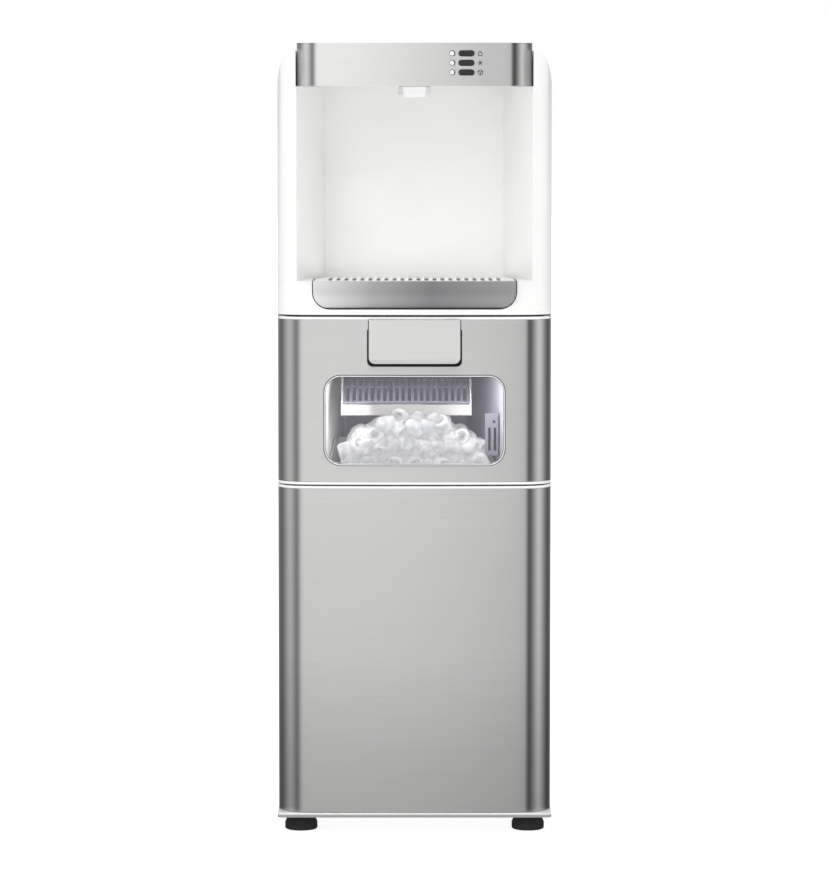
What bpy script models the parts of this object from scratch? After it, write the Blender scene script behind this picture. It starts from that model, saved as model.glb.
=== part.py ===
"""Floor-standing water cooler with an ice maker.

Metres, +Z up, front towards -Y, origin on the floor under the middle of the body.
"""

import math

import bmesh
import bpy
from mathutils import Matrix, Vector

for thing in list(bpy.data.objects):
    bpy.data.objects.remove(thing, do_unlink=True)

MM = 0.001
WELD = 0.00001

# Whole object
WIDTH = 364 * MM
BODY_DEPTH = 356 * MM
HEIGHT = 1050 * MM
CORNER_RADIUS = 38 * MM
BOW_RADIUS = 2400 * MM
SEAT_GAP = 0.3 * MM
RUN_GAP = 0.6 * MM
OVERRUN = 6 * MM
CORNER_STEPS = 4
BOW_STEPS = 4
ROUND_STEPS = 3

# Feet and base
FOOT_HEIGHT = 20 * MM
FOOT_RADIUS = 21.7 * MM
FOOT_WAIST_RADIUS = 17 * MM
FOOT_TREAD = 7 * MM
FOOT_INSET_X = 30 * MM
FOOT_INSET_Y = 32 * MM
STEM_RADIUS = 4 * MM
STEM_LENGTH = 30 * MM
BOSS_RADIUS = 8 * MM
BOSS_HEIGHT = 18 * MM
BASE_THICKNESS = 6 * MM
BASE_OVERHANG = 0.7 * MM
BASE_CORNER = 6 * MM
BASE_RIM_HEIGHT = 16 * MM
BASE_RIM_WALL = 3 * MM
BASE_RIM_INSET = 16 * MM

# Steel skins, sheet panels and their white rims
SKIN = 1 * MM
RETURN_GAP = 5 * MM
LOWER_PANEL_HEIGHT = 438 * MM
PANEL_GAP = 2 * MM
RIM_HEIGHT = 3.4 * MM
RIM_DEPTH = 13 * MM
FRAME_WALL = 3 * MM
DOOR_SIDE_WALL = 9 * MM
PANEL_FLANGE = 12 * MM
BACK_INSET = 1.3 * MM
LOUVRE_COUNT = 8
LOUVRE_PITCH = 18 * MM
LOUVRE_SLOT = 5 * MM
LOUVRE_MARGIN = 14 * MM
LOUVRE_RISE = 90 * MM

# Ice door
DOOR_HEIGHT = 222.8 * MM
DOOR_TOP_GAP = 2.6 * MM
DOOR_THICKNESS = 26 * MM
DOOR_FOOT_THICKNESS = 17.5 * MM
DOOR_SWING_RELIEF = 1.2 * MM
HINGE_SETBACK = 7 * MM
HINGE_RISE = 16 * MM
HINGE_ROD_RADIUS = 2 * MM
HINGE_BORE_RADIUS = 2.4 * MM
HINGE_EYE_RADIUS = 3.8 * MM
HINGE_SPREAD = 74 * MM
HINGE_EAR_WIDTH = 4 * MM
HINGE_ROD_REACH = 10 * MM
SILL_DEPTH = 2.9 * MM
SILL_HEIGHT = 8 * MM
SILL_DROP = 10 * MM
SILL_REACH = 100 * MM
WINDOW_INSET = 61.5 * MM
WINDOW_HEIGHT = 121.2 * MM
WINDOW_RISE = 24.7 * MM
WINDOW_RADIUS = 23 * MM
WINDOW_THICKNESS = 4 * MM
WINDOW_FLANGE = 4 * MM
WINDOW_GAP = 0.5 * MM
THROAT_LIP = 5 * MM
TAB_WIDTH = 126 * MM
TAB_HEIGHT = 62 * MM
TAB_PROUD = 12 * MM
TAB_TOP_PROUD = 2.4 * MM
TAB_NOSE = 2.5 * MM
TAB_WALL = 2.4 * MM
TAB_RADIUS = 6 * MM
TAB_SEAT = 14 * MM
POCKET_MARGIN = 1.2 * MM
POCKET_DROP = 4.2 * MM
POCKET_DEPTH = 15 * MM
GASKET_INSET = 49 * MM
GASKET_BAND = 6 * MM
GASKET_GAP = 3.1 * MM

# Ice compartment
LINER_WALL = 6 * MM
LINER_FLANGE = 3 * MM
LINER_FLANGE_INSET = 14 * MM
LINER_MOUTH_INSET = 60 * MM
LINER_BACK_LEFT_INSET = 85 * MM
LINER_BACK_RIGHT_INSET = 110 * MM
LINER_DEPTH = 208 * MM
LINER_LOW = 470 * MM
LINER_HEIGHT = 218 * MM
LINER_LIP_RISE = 20 * MM
LINER_LIP = 1.5 * MM
LINER_MOUTH_CORNER = 8 * MM
BASKET_WALL = 2.2 * MM
BASKET_DEPTH = 118 * MM
BASKET_SETBACK = 6 * MM
BASKET_FRONT_HEIGHT = 13 * MM
BASKET_BACK_HEIGHT = 40 * MM
BASKET_MARGIN = 1.2 * MM

# Ice mechanism
CHEEK_LEFT_INSET = 86 * MM
CHEEK_RIGHT_INSET = 108 * MM
CHEEK_WALL = 2.4 * MM
CHUTE_SLOPE = math.radians(22)
CHUTE_FRONT_SETBACK = 70 * MM
CHUTE_DROP = 77 * MM
CHUTE_LENGTH = 142 * MM
CHUTE_THICKNESS = 2.6 * MM
CHUTE_ROWS = 3
CHUTE_SLATS = 20
CHUTE_RAIL = 4 * MM
SLAT_SHARE = 0.45
FRONT_BAR_HEIGHT = 14.8 * MM
FRONT_BAR_DEPTH = 8 * MM
TRAY_AXIS_SETBACK = 180 * MM
TRAY_AXIS_DROP = 43 * MM
TRAY_RADIUS = 24 * MM
TRAY_WALL = 1.8 * MM
TRAY_HALF_ARC = math.radians(70)
TRAY_ARC_STEPS = 6
TRAY_END_GAP = 4 * MM
TRAY_PIVOT_RADIUS = 4 * MM
TRAY_PIVOT_BORE = 4.5 * MM
FINGER_COUNT = 9
FINGER_RADIUS = 4.6 * MM
FINGER_TIP_RADIUS = 3.4 * MM
FINGER_LENGTH = 44 * MM
PLATE_THICKNESS = 5 * MM
PLATE_WIDTH = 18 * MM
CROSSBAR = 5 * MM
CROSSBAR_DEPTH = 22 * MM
MOTOR_LENGTH = 20 * MM
MOTOR_SIZE = 40 * MM
MOTOR_CAN_SHARE = 0.8
MOTOR_CAN_REACH = 1.3
MOTOR_FACE_SHARE = 1.1
STUB_SHARE = 0.4
SENSOR_SETBACK = 88 * MM
SENSOR_RISE = 69 * MM
SENSOR_SIZE = 16 * MM
SENSOR_LENS_RADIUS = 2.6 * MM
SENSOR_SLOT_WIDTH = 4 * MM
SENSOR_SLOT_LENGTH = 32 * MM
SENSOR_SLOT_DROP = 8 * MM
SENSOR_SLOT_PITCH = 12 * MM

# Side vent, fan and condenser
VENT_DROP = 12.8 * MM
VENT_HEIGHT = 192 * MM
VENT_WIDTH = 124 * MM
VENT_PROUD = 2.9 * MM
VENT_PLUG = 4 * MM
VENT_MARGIN = 8 * MM
VENT_SLOTS = 9
VENT_SLOT_SHARE = 0.5
FAN_INSET = 116.7 * MM
FAN_SIZE = 116 * MM
FAN_THICKNESS = 26 * MM
FAN_BORE_RADIUS = 53 * MM
FAN_TIP_RADIUS = 50 * MM
FAN_HUB_RADIUS = 17 * MM
FAN_HUB_LENGTH = 14 * MM
FAN_BLADES = 7
FAN_BLADE_CHORD = 26 * MM
FAN_BLADE_THICKNESS = 1.4 * MM
BLADE_ROOT_SHARE = 0.8
BLADE_ROOT_CHORD = 0.7
FAN_ROOT_TWIST = math.radians(48)
FAN_TIP_TWIST = math.radians(24)
FAN_ARM_WIDTH = 6 * MM
FAN_ARM_DEPTH = 4 * MM
CONDENSER_RUNS = 6
CONDENSER_PITCH = 22 * MM
CONDENSER_LENGTH = 104 * MM
CONDENSER_TUBE = 3.2 * MM
CONDENSER_PLATE = 1.6 * MM
FIN_SPREAD = 0.9
CONDENSER_WIDTH = 22 * MM

# Upper housing, bay and drip tray
HOUSING_WALL = 3 * MM
HOUSING_FLOOR = 3.6 * MM
HEAD_RISE = 10 * MM
HEAD_HEIGHT = 56.8 * MM
HEAD_INSET = 26 * MM
HEAD_CORNER = 32 * MM
HEAD_DEPTH = 118 * MM
HEAD_WALL = 2.5 * MM
HEAD_FLOOR = 3 * MM
SHOULDER_WIDTH = 21 * MM
SHOULDER_HEIGHT = 50 * MM
SHOULDER_STEPS = 5
BAY_MOUTH_INSET = 24.5 * MM
BAY_BACK_INSET = 61 * MM
BAY_DEPTH = 150 * MM
DECK_HEIGHT = 44.6 * MM
FASCIA_RETURN = 18.6 * MM
TRAY_INSET = 47 * MM
DRIP_HEIGHT = 37 * MM
DRIP_CORNER = 23 * MM
DRIP_DEPTH = 136 * MM
DRIP_PROUD = 5 * MM
DRIP_TUCK = 9 * MM
DRIP_SKIN = 2.4 * MM
DRIP_ARC_STEPS = 7
BASIN_WALL = 2 * MM
BASIN_FLOOR = 2.5 * MM
GRILLE_THICKNESS = 3 * MM
GRILLE_SLOTS = 22
GRILLE_SIDE = 17.3 * MM
GRILLE_SLOT = 5 * MM
GRILLE_MARGIN = 12 * MM
GRILLE_CORNER = 14 * MM
GRILLE_LEDGE = 3 * MM
DRIP_BACK = 12 * MM
DRIP_LIP = 2 * MM

# Controls
BUTTON_INSET = 87.6 * MM
BUTTON_WIDTH = 20.2 * MM
BUTTON_HEIGHT = 7 * MM
CAPSULE_SHARE = 0.49
BUTTON_PITCH = 12.5 * MM
BUTTON_TOP_DROP = 14 * MM
BUTTON_PROUD = 0.8 * MM
BUTTON_LENGTH = 7.5 * MM
BUTTON_TRAVEL = 1.5 * MM
LENS_INSET = 106.1 * MM
LENS_RADIUS = 3.4 * MM
LENS_STRIP_WIDTH = 12 * MM
LENS_STRIP_THICKNESS = 2 * MM
BOARD_THICKNESS = 1.6 * MM
BOARD_HALF = 22 * MM
SWITCH_SIZE = 6 * MM
POST_RADIUS = 3 * MM

# Nozzle, valves and the two buttons on the top deck
NOZZLE_SETBACK = 60 * MM
NOZZLE_TOP_WIDTH = 46 * MM
NOZZLE_TOP_DEPTH = 44 * MM
NOZZLE_TAPER = 0.72
NOZZLE_HEIGHT = 11 * MM
NOZZLE_CORNER = 5 * MM
SPOUT_RADIUS = 10.5 * MM
SPOUT_BORE = 6 * MM
SPOUT_DROP = 3 * MM
SPOUT_SHANK = 6 * MM
VALVE_HALF = 34 * MM
VALVE_DEPTH = 32 * MM
VALVE_HEIGHT = 24 * MM
VALVE_STEM_RADIUS = 6 * MM
VALVE_STEM = 6 * MM
BARB_RADIUS = 4.4 * MM
BARB_LENGTH = 10 * MM
BARB_SHARE = 0.4
TOP_SINK = 2 * MM
TOP_BUTTON_SPREAD = 24 * MM
TOP_BUTTON_RADIUS = 15 * MM
TOP_BUTTON_FLANGE = 2 * MM

# Bottle seat, tanks and hoses
SEAT_RIM_RADIUS = 106 * MM
SEAT_BODY_RADIUS = 98 * MM
SEAT_LIP = 1.6 * MM
SEAT_DISH = 20 * MM
SEAT_NECK_RADIUS = 33 * MM
SEAT_WALL = 3 * MM
SEAT_DEPTH = 44 * MM
PROBE_RADIUS = 7 * MM
PROBE_BORE = 2.5 * MM
PROBE_HEIGHT = 26 * MM
COLD_RADIUS = 52 * MM
COLD_SHARE = 0.4
COLD_WALL = 1.6 * MM
COLD_MOUTH = 20 * MM
JACKET_WALL = 13 * MM
JACKET_FLOOR = 10 * MM
HOT_RADIUS = 42 * MM
HOT_SHARE = 0.355
HOSE_RADIUS = 5 * MM
PORT_RADIUS = 5 * MM
PORT_LENGTH = 8 * MM
PORT_RISE = 18 * MM
HOSE_SWING = 26 * MM
MACHINE_GAP = 4 * MM

# Lower machinery
SHELF_RISE = 372 * MM
SHELF_SHEET = 1.2 * MM
SHELF_FLANGE = 12 * MM
COMPRESSOR_RADIUS = 62 * MM
COMPRESSOR_HEIGHT = 150 * MM
COMPRESSOR_DOME = 26 * MM
COMPRESSOR_X = -62 * MM
COMPRESSOR_INSET = 92 * MM
COMPRESSOR_LIFT = 8 * MM
COMPRESSOR_FOOT = 76 * MM
COMPRESSOR_FOOT_WIDTH = 24 * MM
COMPRESSOR_FOOT_SHEET = 3 * MM
GROMMET_RADIUS = 7 * MM
LINE_RADIUS = 3.4 * MM
RESERVOIR_SIZE = (150 * MM, 130 * MM, 50 * MM)
RESERVOIR_WALL = 2.5 * MM
RESERVOIR_CORNER = 10 * MM
RESERVOIR_INSET = 34 * MM
PUMP_RADIUS = 17 * MM
PUMP_HEIGHT = 38 * MM
PUMP_SPOUT = 4.2 * MM
PUMP_SPOUT_HEIGHT = 6 * MM
FILL_RADIUS = 4 * MM
FILL_HEIGHT = 30 * MM
BOARD_BOX = (74 * MM, 110 * MM, 34 * MM)
BOARD_BOX_SIDE = 78 * MM
BOARD_BOX_INSET = 100 * MM
CAPACITOR_SHARE = 0.8
INLET_WIDTH = 30 * MM
INLET_HEIGHT = 24 * MM
INLET_DEPTH = 22 * MM
INLET_FLANGE = 5 * MM
INLET_PROUD = 3 * MM
INLET_RECESS = 15 * MM
INLET_WALL = 3 * MM
INLET_PIN = 2 * MM
INLET_PIN_LENGTH = 10 * MM
INLET_PIN_PITCH = 7 * MM
INLET_SIDE = 72 * MM
INLET_RISE = 60 * MM

# Levels and planes worked out from the sizes above
HALF = WIDTH / 2
FRONT = -BODY_DEPTH / 2
BACK = BODY_DEPTH / 2 - BACK_INSET
BASE_TOP = FOOT_HEIGHT + BASE_THICKNESS
PANEL_TOP = BASE_TOP + LOWER_PANEL_HEIGHT
DOOR_LOW = PANEL_TOP + PANEL_GAP
DOOR_TOP = DOOR_LOW + DOOR_HEIGHT
HOUSING_LOW = DOOR_TOP + DOOR_TOP_GAP
HOUSING_TOP = HEIGHT - HEAD_RISE
HEAD_LOW = HEIGHT - HEAD_HEIGHT
DECK_TOP = HOUSING_LOW + DECK_HEIGHT
BAY_BACK = FRONT + BAY_DEPTH
HINGE_Y = FRONT + HINGE_SETBACK
HINGE_Z = DOOR_LOW + HINGE_RISE
DOOR_BACK = FRONT + DOOR_THICKNESS
FAN_Y = BACK - FAN_INSET
VENT_TOP = DOOR_TOP - VENT_DROP
VENT_LOW = VENT_TOP - VENT_HEIGHT
HOUSING_HEIGHT = HOUSING_TOP - HOUSING_LOW
COLD_HEIGHT = HOUSING_HEIGHT * COLD_SHARE
HOT_HEIGHT = HOUSING_HEIGHT * HOT_SHARE

# Half-widths that follow the body's width
LOUVRE_LENGTH = HALF - LOUVRE_PITCH - LOUVRE_MARGIN
WINDOW_WIDTH = WIDTH - WINDOW_INSET * 2
GASKET_HALF_WIDTH = HALF - GASKET_INSET
LINER_FLANGE_HALF = HALF - LINER_FLANGE_INSET
LINER_MOUTH_HALF = HALF - LINER_MOUTH_INSET
LINER_BACK_LEFT = HALF - LINER_BACK_LEFT_INSET
LINER_BACK_RIGHT = HALF - LINER_BACK_RIGHT_INSET
CHEEK_LEFT = HALF - CHEEK_LEFT_INSET
CHEEK_RIGHT = HALF - CHEEK_RIGHT_INSET
HEAD_HALF = HALF - HEAD_INSET
BAY_MOUTH_HALF = HALF - BAY_MOUTH_INSET
BAY_BACK_HALF = HALF - BAY_BACK_INSET
BAY_SLOPE = (BAY_MOUTH_HALF - BAY_BACK_HALF) / BAY_DEPTH
TRAY_HALF = HALF - TRAY_INSET
GRILLE_PITCH = (TRAY_HALF - GRILLE_SIDE) * 2 / GRILLE_SLOTS
BUTTON_X = HEAD_HALF - BUTTON_INSET
LENS_X = HEAD_HALF - LENS_INSET
BOARD_BOX_X = HALF - BOARD_BOX_SIDE
INLET_X = HALF - INLET_SIDE


def corner_centre_y(half_width, radius):
    """Where a front corner's centre lies so that the corner runs smoothly into the bow."""
    return FRONT + BOW_RADIUS - math.sqrt((BOW_RADIUS - radius) ** 2 - (half_width - radius) ** 2)


CORNER_Y = corner_centre_y(HALF, CORNER_RADIUS)
PANEL_FRONT = CORNER_Y + RETURN_GAP
SHELF_FRONT = PANEL_FRONT + PANEL_GAP
FLANGE_FRONT = DOOR_BACK + GASKET_GAP + 2 * SEAT_GAP
LINER_FRONT = FLANGE_FRONT + LINER_FLANGE
LINER_TOP = LINER_LOW + LINER_HEIGHT

# Collections and materials
MODEL = bpy.data.collections.new("water_cooler")
TOOLS = bpy.data.collections.new("cutters")
bpy.context.scene.collection.children.link(MODEL)
bpy.context.scene.collection.children.link(TOOLS)


def material(name, colour, roughness, metallic=0.0, alpha=1.0):
    made = bpy.data.materials.new(name)
    made.use_nodes = True
    shader = made.node_tree.nodes["Principled BSDF"]
    shader.inputs["Base Color"].default_value = (*colour, 1.0)
    shader.inputs["Roughness"].default_value = roughness
    shader.inputs["Metallic"].default_value = metallic
    shader.inputs["Alpha"].default_value = alpha
    return made


STEEL = material("brushed_stainless_steel", (0.60, 0.60, 0.60), 0.32, 1.0)
SILVER = material("painted_silver", (0.58, 0.58, 0.59), 0.35, 0.7)
PANEL_GREY = material("coated_sheet", (0.52, 0.53, 0.54), 0.45, 0.3)
WHITE = material("white_abs", (0.88, 0.88, 0.88), 0.35)
BLACK = material("black_rubber", (0.02, 0.02, 0.02), 0.6)
DARK = material("dark_button_plastic", (0.05, 0.05, 0.055), 0.35)
GALVANISED = material("galvanised_sheet", (0.55, 0.56, 0.57), 0.5, 0.8)
CLEAR = material("clear_pane", (0.9, 0.92, 0.94), 0.05, 0.0, 0.25)
FOAM = material("insulation_foam", (0.80, 0.78, 0.70), 0.9)
TUBE_STEEL = material("drawn_tube_steel", (0.55, 0.55, 0.56), 0.3, 1.0)
COPPER = material("copper_tube", (0.80, 0.45, 0.32), 0.35, 1.0)
SILICONE = material("silicone_hose", (0.85, 0.86, 0.84), 0.5)
GASKET = material("door_gasket_rubber", (0.75, 0.75, 0.76), 0.6)
CIRCUIT = material("circuit_board", (0.05, 0.22, 0.10), 0.5)
MOTOR_CASE = material("motor_case", (0.20, 0.20, 0.21), 0.5)


def store(obj, name, finish=None, tool=False):
    """Names an object and moves it to the model's collection, or to the cutters'."""
    for owner in list(obj.users_collection):
        owner.objects.unlink(obj)
    (TOOLS if tool else MODEL).objects.link(obj)
    obj.name = name
    obj.data.name = name
    obj.data.materials.clear()
    if finish:
        obj.data.materials.append(finish)
    if tool:
        obj.hide_render = True
        obj.display_type = "WIRE"
    return obj


def from_bmesh(name, shape, finish=None, tool=False, smooth=False):
    mesh = bpy.data.meshes.new(name)
    shape.to_mesh(mesh)
    shape.free()
    obj = bpy.data.objects.new(name, mesh)
    bpy.context.scene.collection.objects.link(obj)
    store(obj, name, finish, tool)
    if smooth:
        mesh.shade_smooth()
        mesh.set_sharp_from_angle(angle=math.radians(35))
    return obj


def block(name, low, high, finish=None, tool=False, bevel=0.0):
    """A box between two corners, with its origin at its centre."""
    low, high = Vector(low), Vector(high)
    shape = bmesh.new()
    bmesh.ops.create_cube(shape, size=1)
    size = high - low
    bmesh.ops.scale(shape, vec=size, verts=shape.verts)
    obj = from_bmesh(name, shape, finish, tool)
    obj.location = (low + high) / 2
    if bevel:
        edge = obj.modifiers.new("rounded_edges", "BEVEL")
        edge.width = bevel
        edge.segments = 2
    return obj


def rod(name, radius, start, end, finish=None, tool=False, sides=24, end_radius=None):
    """A cylinder or cone from one point to another."""
    start, end = Vector(start), Vector(end)
    run = end - start
    shape = bmesh.new()
    bmesh.ops.create_cone(
        shape, cap_ends=True, segments=sides, radius1=radius,
        radius2=radius if end_radius is None else end_radius, depth=run.length,
    )
    obj = from_bmesh(name, shape, finish, tool, smooth=True)
    obj.rotation_euler = run.to_track_quat("Z", "Y").to_euler()
    obj.location = (start + end) / 2
    return obj


def turned(name, profile, place, finish=None, tool=False, sides=32, axis="Z"):
    """Revolves a profile of (radius, height) points that runs down its outer side."""
    mesh = bpy.data.meshes.new(name)
    points = [(radius, 0, height) for radius, height in profile]
    closed = profile[0][0] > 0
    edges = [(i, i + 1) for i in range(len(points) - 1)]
    if closed:
        edges.append((len(points) - 1, 0))
    mesh.from_pydata(points, edges, [])
    obj = bpy.data.objects.new(name, mesh)
    bpy.context.scene.collection.objects.link(obj)
    store(obj, name, finish, tool)
    spin = obj.modifiers.new("turned", "SCREW")
    spin.steps = spin.render_steps = sides
    spin.use_merge_vertices = True
    spin.merge_threshold = WELD
    spin.use_smooth_shade = True
    obj.location = place
    if axis == "Y":
        obj.rotation_euler = (-math.pi / 2, 0, 0)
    if axis == "X":
        obj.rotation_euler = (0, math.pi / 2, 0)
    return obj


FACINGS = {"X": (math.pi / 2, 0, math.pi / 2), "Y": (math.pi / 2, 0, 0), "Z": (0, 0, 0)}


def along(facing, distance):
    """A point at a distance on the axis that a flat outline is extruded along."""
    return Vector((distance, 0, 0) if facing == "X" else (0, distance,
                                                          0) if facing == "Y" else (0, 0, distance))


def prism(name, outlines, low, high, facing="Z", finish=None, tool=False):
    """Extrudes flat outlines, the first with the others as holes.

    An outline's points are (x, y) for facing Z, (x, z) for facing Y and (y, z) for facing X.
    """
    curve = bpy.data.curves.new(name, "CURVE")
    curve.dimensions = "2D"
    curve.fill_mode = "BOTH"
    curve.extrude = (high - low) / 2
    for outline in outlines:
        spline = curve.splines.new("POLY")
        spline.points.add(len(outline) - 1)
        for point, (across, up) in zip(spline.points, outline):
            point.co = (across, up, 0, 1)
        spline.use_cyclic_u = True
    flat = bpy.data.objects.new(name, curve)
    bpy.context.scene.collection.objects.link(flat)
    flat.rotation_euler = FACINGS[facing]
    flat.location = along(facing, (low + high) / 2)
    return meshed(flat, name, finish, tool)


def meshed(flat, name, finish, tool):
    """Turns a curve object into a welded mesh object at the same place."""
    bpy.context.view_layer.update()
    view = bpy.context.evaluated_depsgraph_get()
    mesh = bpy.data.meshes.new_from_object(flat.evaluated_get(view))
    shape = bmesh.new()
    shape.from_mesh(mesh)
    bmesh.ops.remove_doubles(shape, verts=shape.verts, dist=WELD)
    bmesh.ops.recalc_face_normals(shape, faces=shape.faces)
    bmesh.ops.triangulate(shape, faces=shape.faces)
    shape.to_mesh(mesh)
    shape.free()
    obj = bpy.data.objects.new(name, mesh)
    bpy.context.scene.collection.objects.link(obj)
    obj.matrix_world = flat.matrix_world.copy()
    bpy.data.objects.remove(flat, do_unlink=True)
    mesh.set_sharp_from_angle(angle=math.radians(35))
    return store(obj, name, finish, tool)


def pipe(name, points, radius, finish, smooth_curve=True, tool=False):
    """A round tube through points, drawn as a curve with filled ends."""
    curve = bpy.data.curves.new(name, "CURVE")
    curve.dimensions = "3D"
    curve.bevel_depth = radius
    curve.bevel_resolution = 1
    curve.use_fill_caps = True
    if smooth_curve:
        curve.resolution_u = 3
        spline = curve.splines.new("BEZIER")
        spline.bezier_points.add(len(points) - 1)
        for knot, point in zip(spline.bezier_points, points):
            knot.co = point
            knot.handle_left_type = knot.handle_right_type = "AUTO"
    else:
        spline = curve.splines.new("POLY")
        spline.points.add(len(points) - 1)
        for knot, point in zip(spline.points, points):
            knot.co = (*point, 1)
    flat = bpy.data.objects.new(name, curve)
    bpy.context.scene.collection.objects.link(flat)
    return meshed(flat, name, finish, tool)


def sheet(name, path, low, high, thickness, facing="Z", finish=None, tool=False):
    """A bent sheet: a path drawn counter-clockwise, extruded, with its thickness on the inside."""
    shape = bmesh.new()
    lows = [shape.verts.new((across, up, (low - high) / 2)) for across, up in path]
    highs = [shape.verts.new((across, up, (high - low) / 2)) for across, up in path]
    for i in range(len(path) - 1):
        shape.faces.new((lows[i], lows[i + 1], highs[i + 1], highs[i]))
    obj = from_bmesh(name, shape, finish, tool, smooth=True)
    obj.rotation_euler = FACINGS[facing]
    obj.location = along(facing, (low + high) / 2)
    wall = obj.modifiers.new("sheet", "SOLIDIFY")
    wall.thickness = thickness
    wall.offset = -1
    wall.use_even_offset = True
    return obj


def combine(target, tool, operation):
    step = target.modifiers.new(tool.name, "BOOLEAN")
    step.operation = operation
    step.solver = "EXACT"
    step.object = tool
    return target


def cut(target, *tools):
    for tool in tools:
        combine(target, tool, "DIFFERENCE")
    return target


def join(target, *tools):
    for tool in tools:
        combine(target, tool, "UNION")
    return target


def keep(target, tool):
    return combine(target, tool, "INTERSECT")


def axis_at(name, place, *pieces, parent=None):
    """An empty on a joint's axis that carries the pieces that move about it."""
    empty = bpy.data.objects.new(name, None)
    MODEL.objects.link(empty)
    empty.location = Vector(place)
    origin = Vector(place)
    if parent:
        empty.location = origin - parent_place(parent)
        empty.parent = parent
    for piece in pieces:
        piece.location = piece.location - origin
        piece.parent = empty
    return empty


def parent_place(empty):
    place = Vector(empty.location)
    while empty.parent:
        empty = empty.parent
        place += empty.location
    return place


def arc(centre, radius, start, end, steps):
    """Points on a circle's arc, angles in degrees."""
    points = []
    for i in range(steps + 1):
        angle = math.radians(start + (end - start) * i / steps)
        points.append((centre[0] + radius * math.cos(angle), centre[1] + radius * math.sin(angle)))
    return points


def rounded(left, right, low, high, radius, steps=ROUND_STEPS):
    """A rectangle with round corners, counter-clockwise. One radius, or four from low left round to high left."""
    radii = radius if isinstance(radius, tuple) else (radius,) * 4
    corners = [
        (left, low, 1, 1, 180), (right, low, -1, 1, 270),
        (right, high, -1, -1, 0), (left, high, 1, -1, 90),
    ]
    points = []
    for (x, y, side, rise, start), size in zip(corners, radii):
        if size:
            points += arc((x + side * size, y + rise * size), size, start, start + 90, steps)
        else:
            points.append((x, y))
    return points


def front_run(half_width, radius, inset, back=None):
    """Plan points from the left return, round both front corners and the bow, to the right return."""
    centre_x = half_width - radius
    centre_y = corner_centre_y(half_width, radius)
    bow_centre = (0, FRONT + BOW_RADIUS)
    turn = math.degrees(math.asin(centre_x / (BOW_RADIUS - radius)))
    points = arc((-centre_x, centre_y), radius - inset, 180, 270 - turn, CORNER_STEPS)
    points += arc(bow_centre, BOW_RADIUS - inset, 270 - turn, 270 + turn, BOW_STEPS)[1:-1]
    points += arc((centre_x, centre_y), radius - inset, 270 + turn, 360, CORNER_STEPS)
    if back is not None:
        points = [(inset - half_width, back)] + points + [(half_width - inset, back)]
    return points


def bow_y(x, inset=0.0):
    """The front surface's y at a distance x from the middle."""
    return FRONT + BOW_RADIUS - math.sqrt((BOW_RADIUS - inset) ** 2 - x ** 2)


def inner_left(y):
    """The ice compartment's left wall, which draws in towards the back."""
    share = (y - LINER_FRONT) / LINER_DEPTH
    return -(LINER_MOUTH_HALF + (LINER_BACK_LEFT - LINER_MOUTH_HALF) * share)


def inner_right(y):
    share = (y - LINER_FRONT) / LINER_DEPTH
    return LINER_MOUTH_HALF + (LINER_BACK_RIGHT - LINER_MOUTH_HALF) * share


def make_base():
    """The moulded base pan with its upstanding rim and the bosses of the levelling feet."""
    side = HALF + BASE_OVERHANG
    tray = prism(
        "base_tray",
        [rounded(-side, side, FRONT, BACK, BASE_CORNER)],
        FOOT_HEIGHT, BASE_TOP, finish=WHITE,
    )
    rim_x = HALF - BASE_RIM_INSET
    rim_front = PANEL_FRONT + BASE_RIM_WALL
    rim_back = BACK - BASE_RIM_WALL * 2
    rim = prism(
        "base_rim",
        [
            rounded(-rim_x, rim_x, rim_front, rim_back, BASE_CORNER + BASE_RIM_WALL),
            rounded(BASE_RIM_WALL - rim_x, rim_x - BASE_RIM_WALL, rim_front + BASE_RIM_WALL,
                    rim_back - BASE_RIM_WALL, BASE_CORNER),
        ],
        FOOT_HEIGHT + BASE_THICKNESS / 2, BASE_TOP + BASE_RIM_HEIGHT, tool=True,
    )
    join(tray, rim)
    for side_sign in (-1, 1):
        for name, y in (("front", FRONT + FOOT_INSET_Y), ("rear", BACK - FOOT_INSET_Y)):
            x = side_sign * (HALF - FOOT_INSET_X)
            label = f"{name}_{'left' if side_sign < 0 else 'right'}"
            boss = rod(f"boss_{label}", BOSS_RADIUS, (x, y, BASE_TOP - BASE_THICKNESS / 2),
                       (x, y, BASE_TOP + BOSS_HEIGHT), tool=True, sides=12)
            bore = rod(f"bore_{label}", STEM_RADIUS + RUN_GAP, (x, y, FOOT_HEIGHT - OVERRUN),
                       (x, y, BASE_TOP + BOSS_HEIGHT + OVERRUN), tool=True, sides=12)
            join(tray, boss)
            cut(tray, bore)


def make_feet():
    """Four rubber feet on threaded stems. The front pair screws down to level the cooler."""
    top = FOOT_HEIGHT - SEAT_GAP
    profile = [
        (0, top + STEM_LENGTH), (STEM_RADIUS, top + STEM_LENGTH), (STEM_RADIUS, top),
        (FOOT_WAIST_RADIUS, top), (FOOT_RADIUS, FOOT_TREAD + FOOT_TREAD / 3), (FOOT_RADIUS, FOOT_TREAD / 3),
        (FOOT_RADIUS - FOOT_TREAD / 3, 0), (0, 0),
    ]
    for side_sign, side in ((-1, "left"), (1, "right")):
        for end, y in (("front", FRONT + FOOT_INSET_Y), ("rear", BACK - FOOT_INSET_Y)):
            turned(f"{end}_{side}_foot", profile, (side_sign * (HALF - FOOT_INSET_X), y, 0), BLACK,
                   sides=16)


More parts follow.
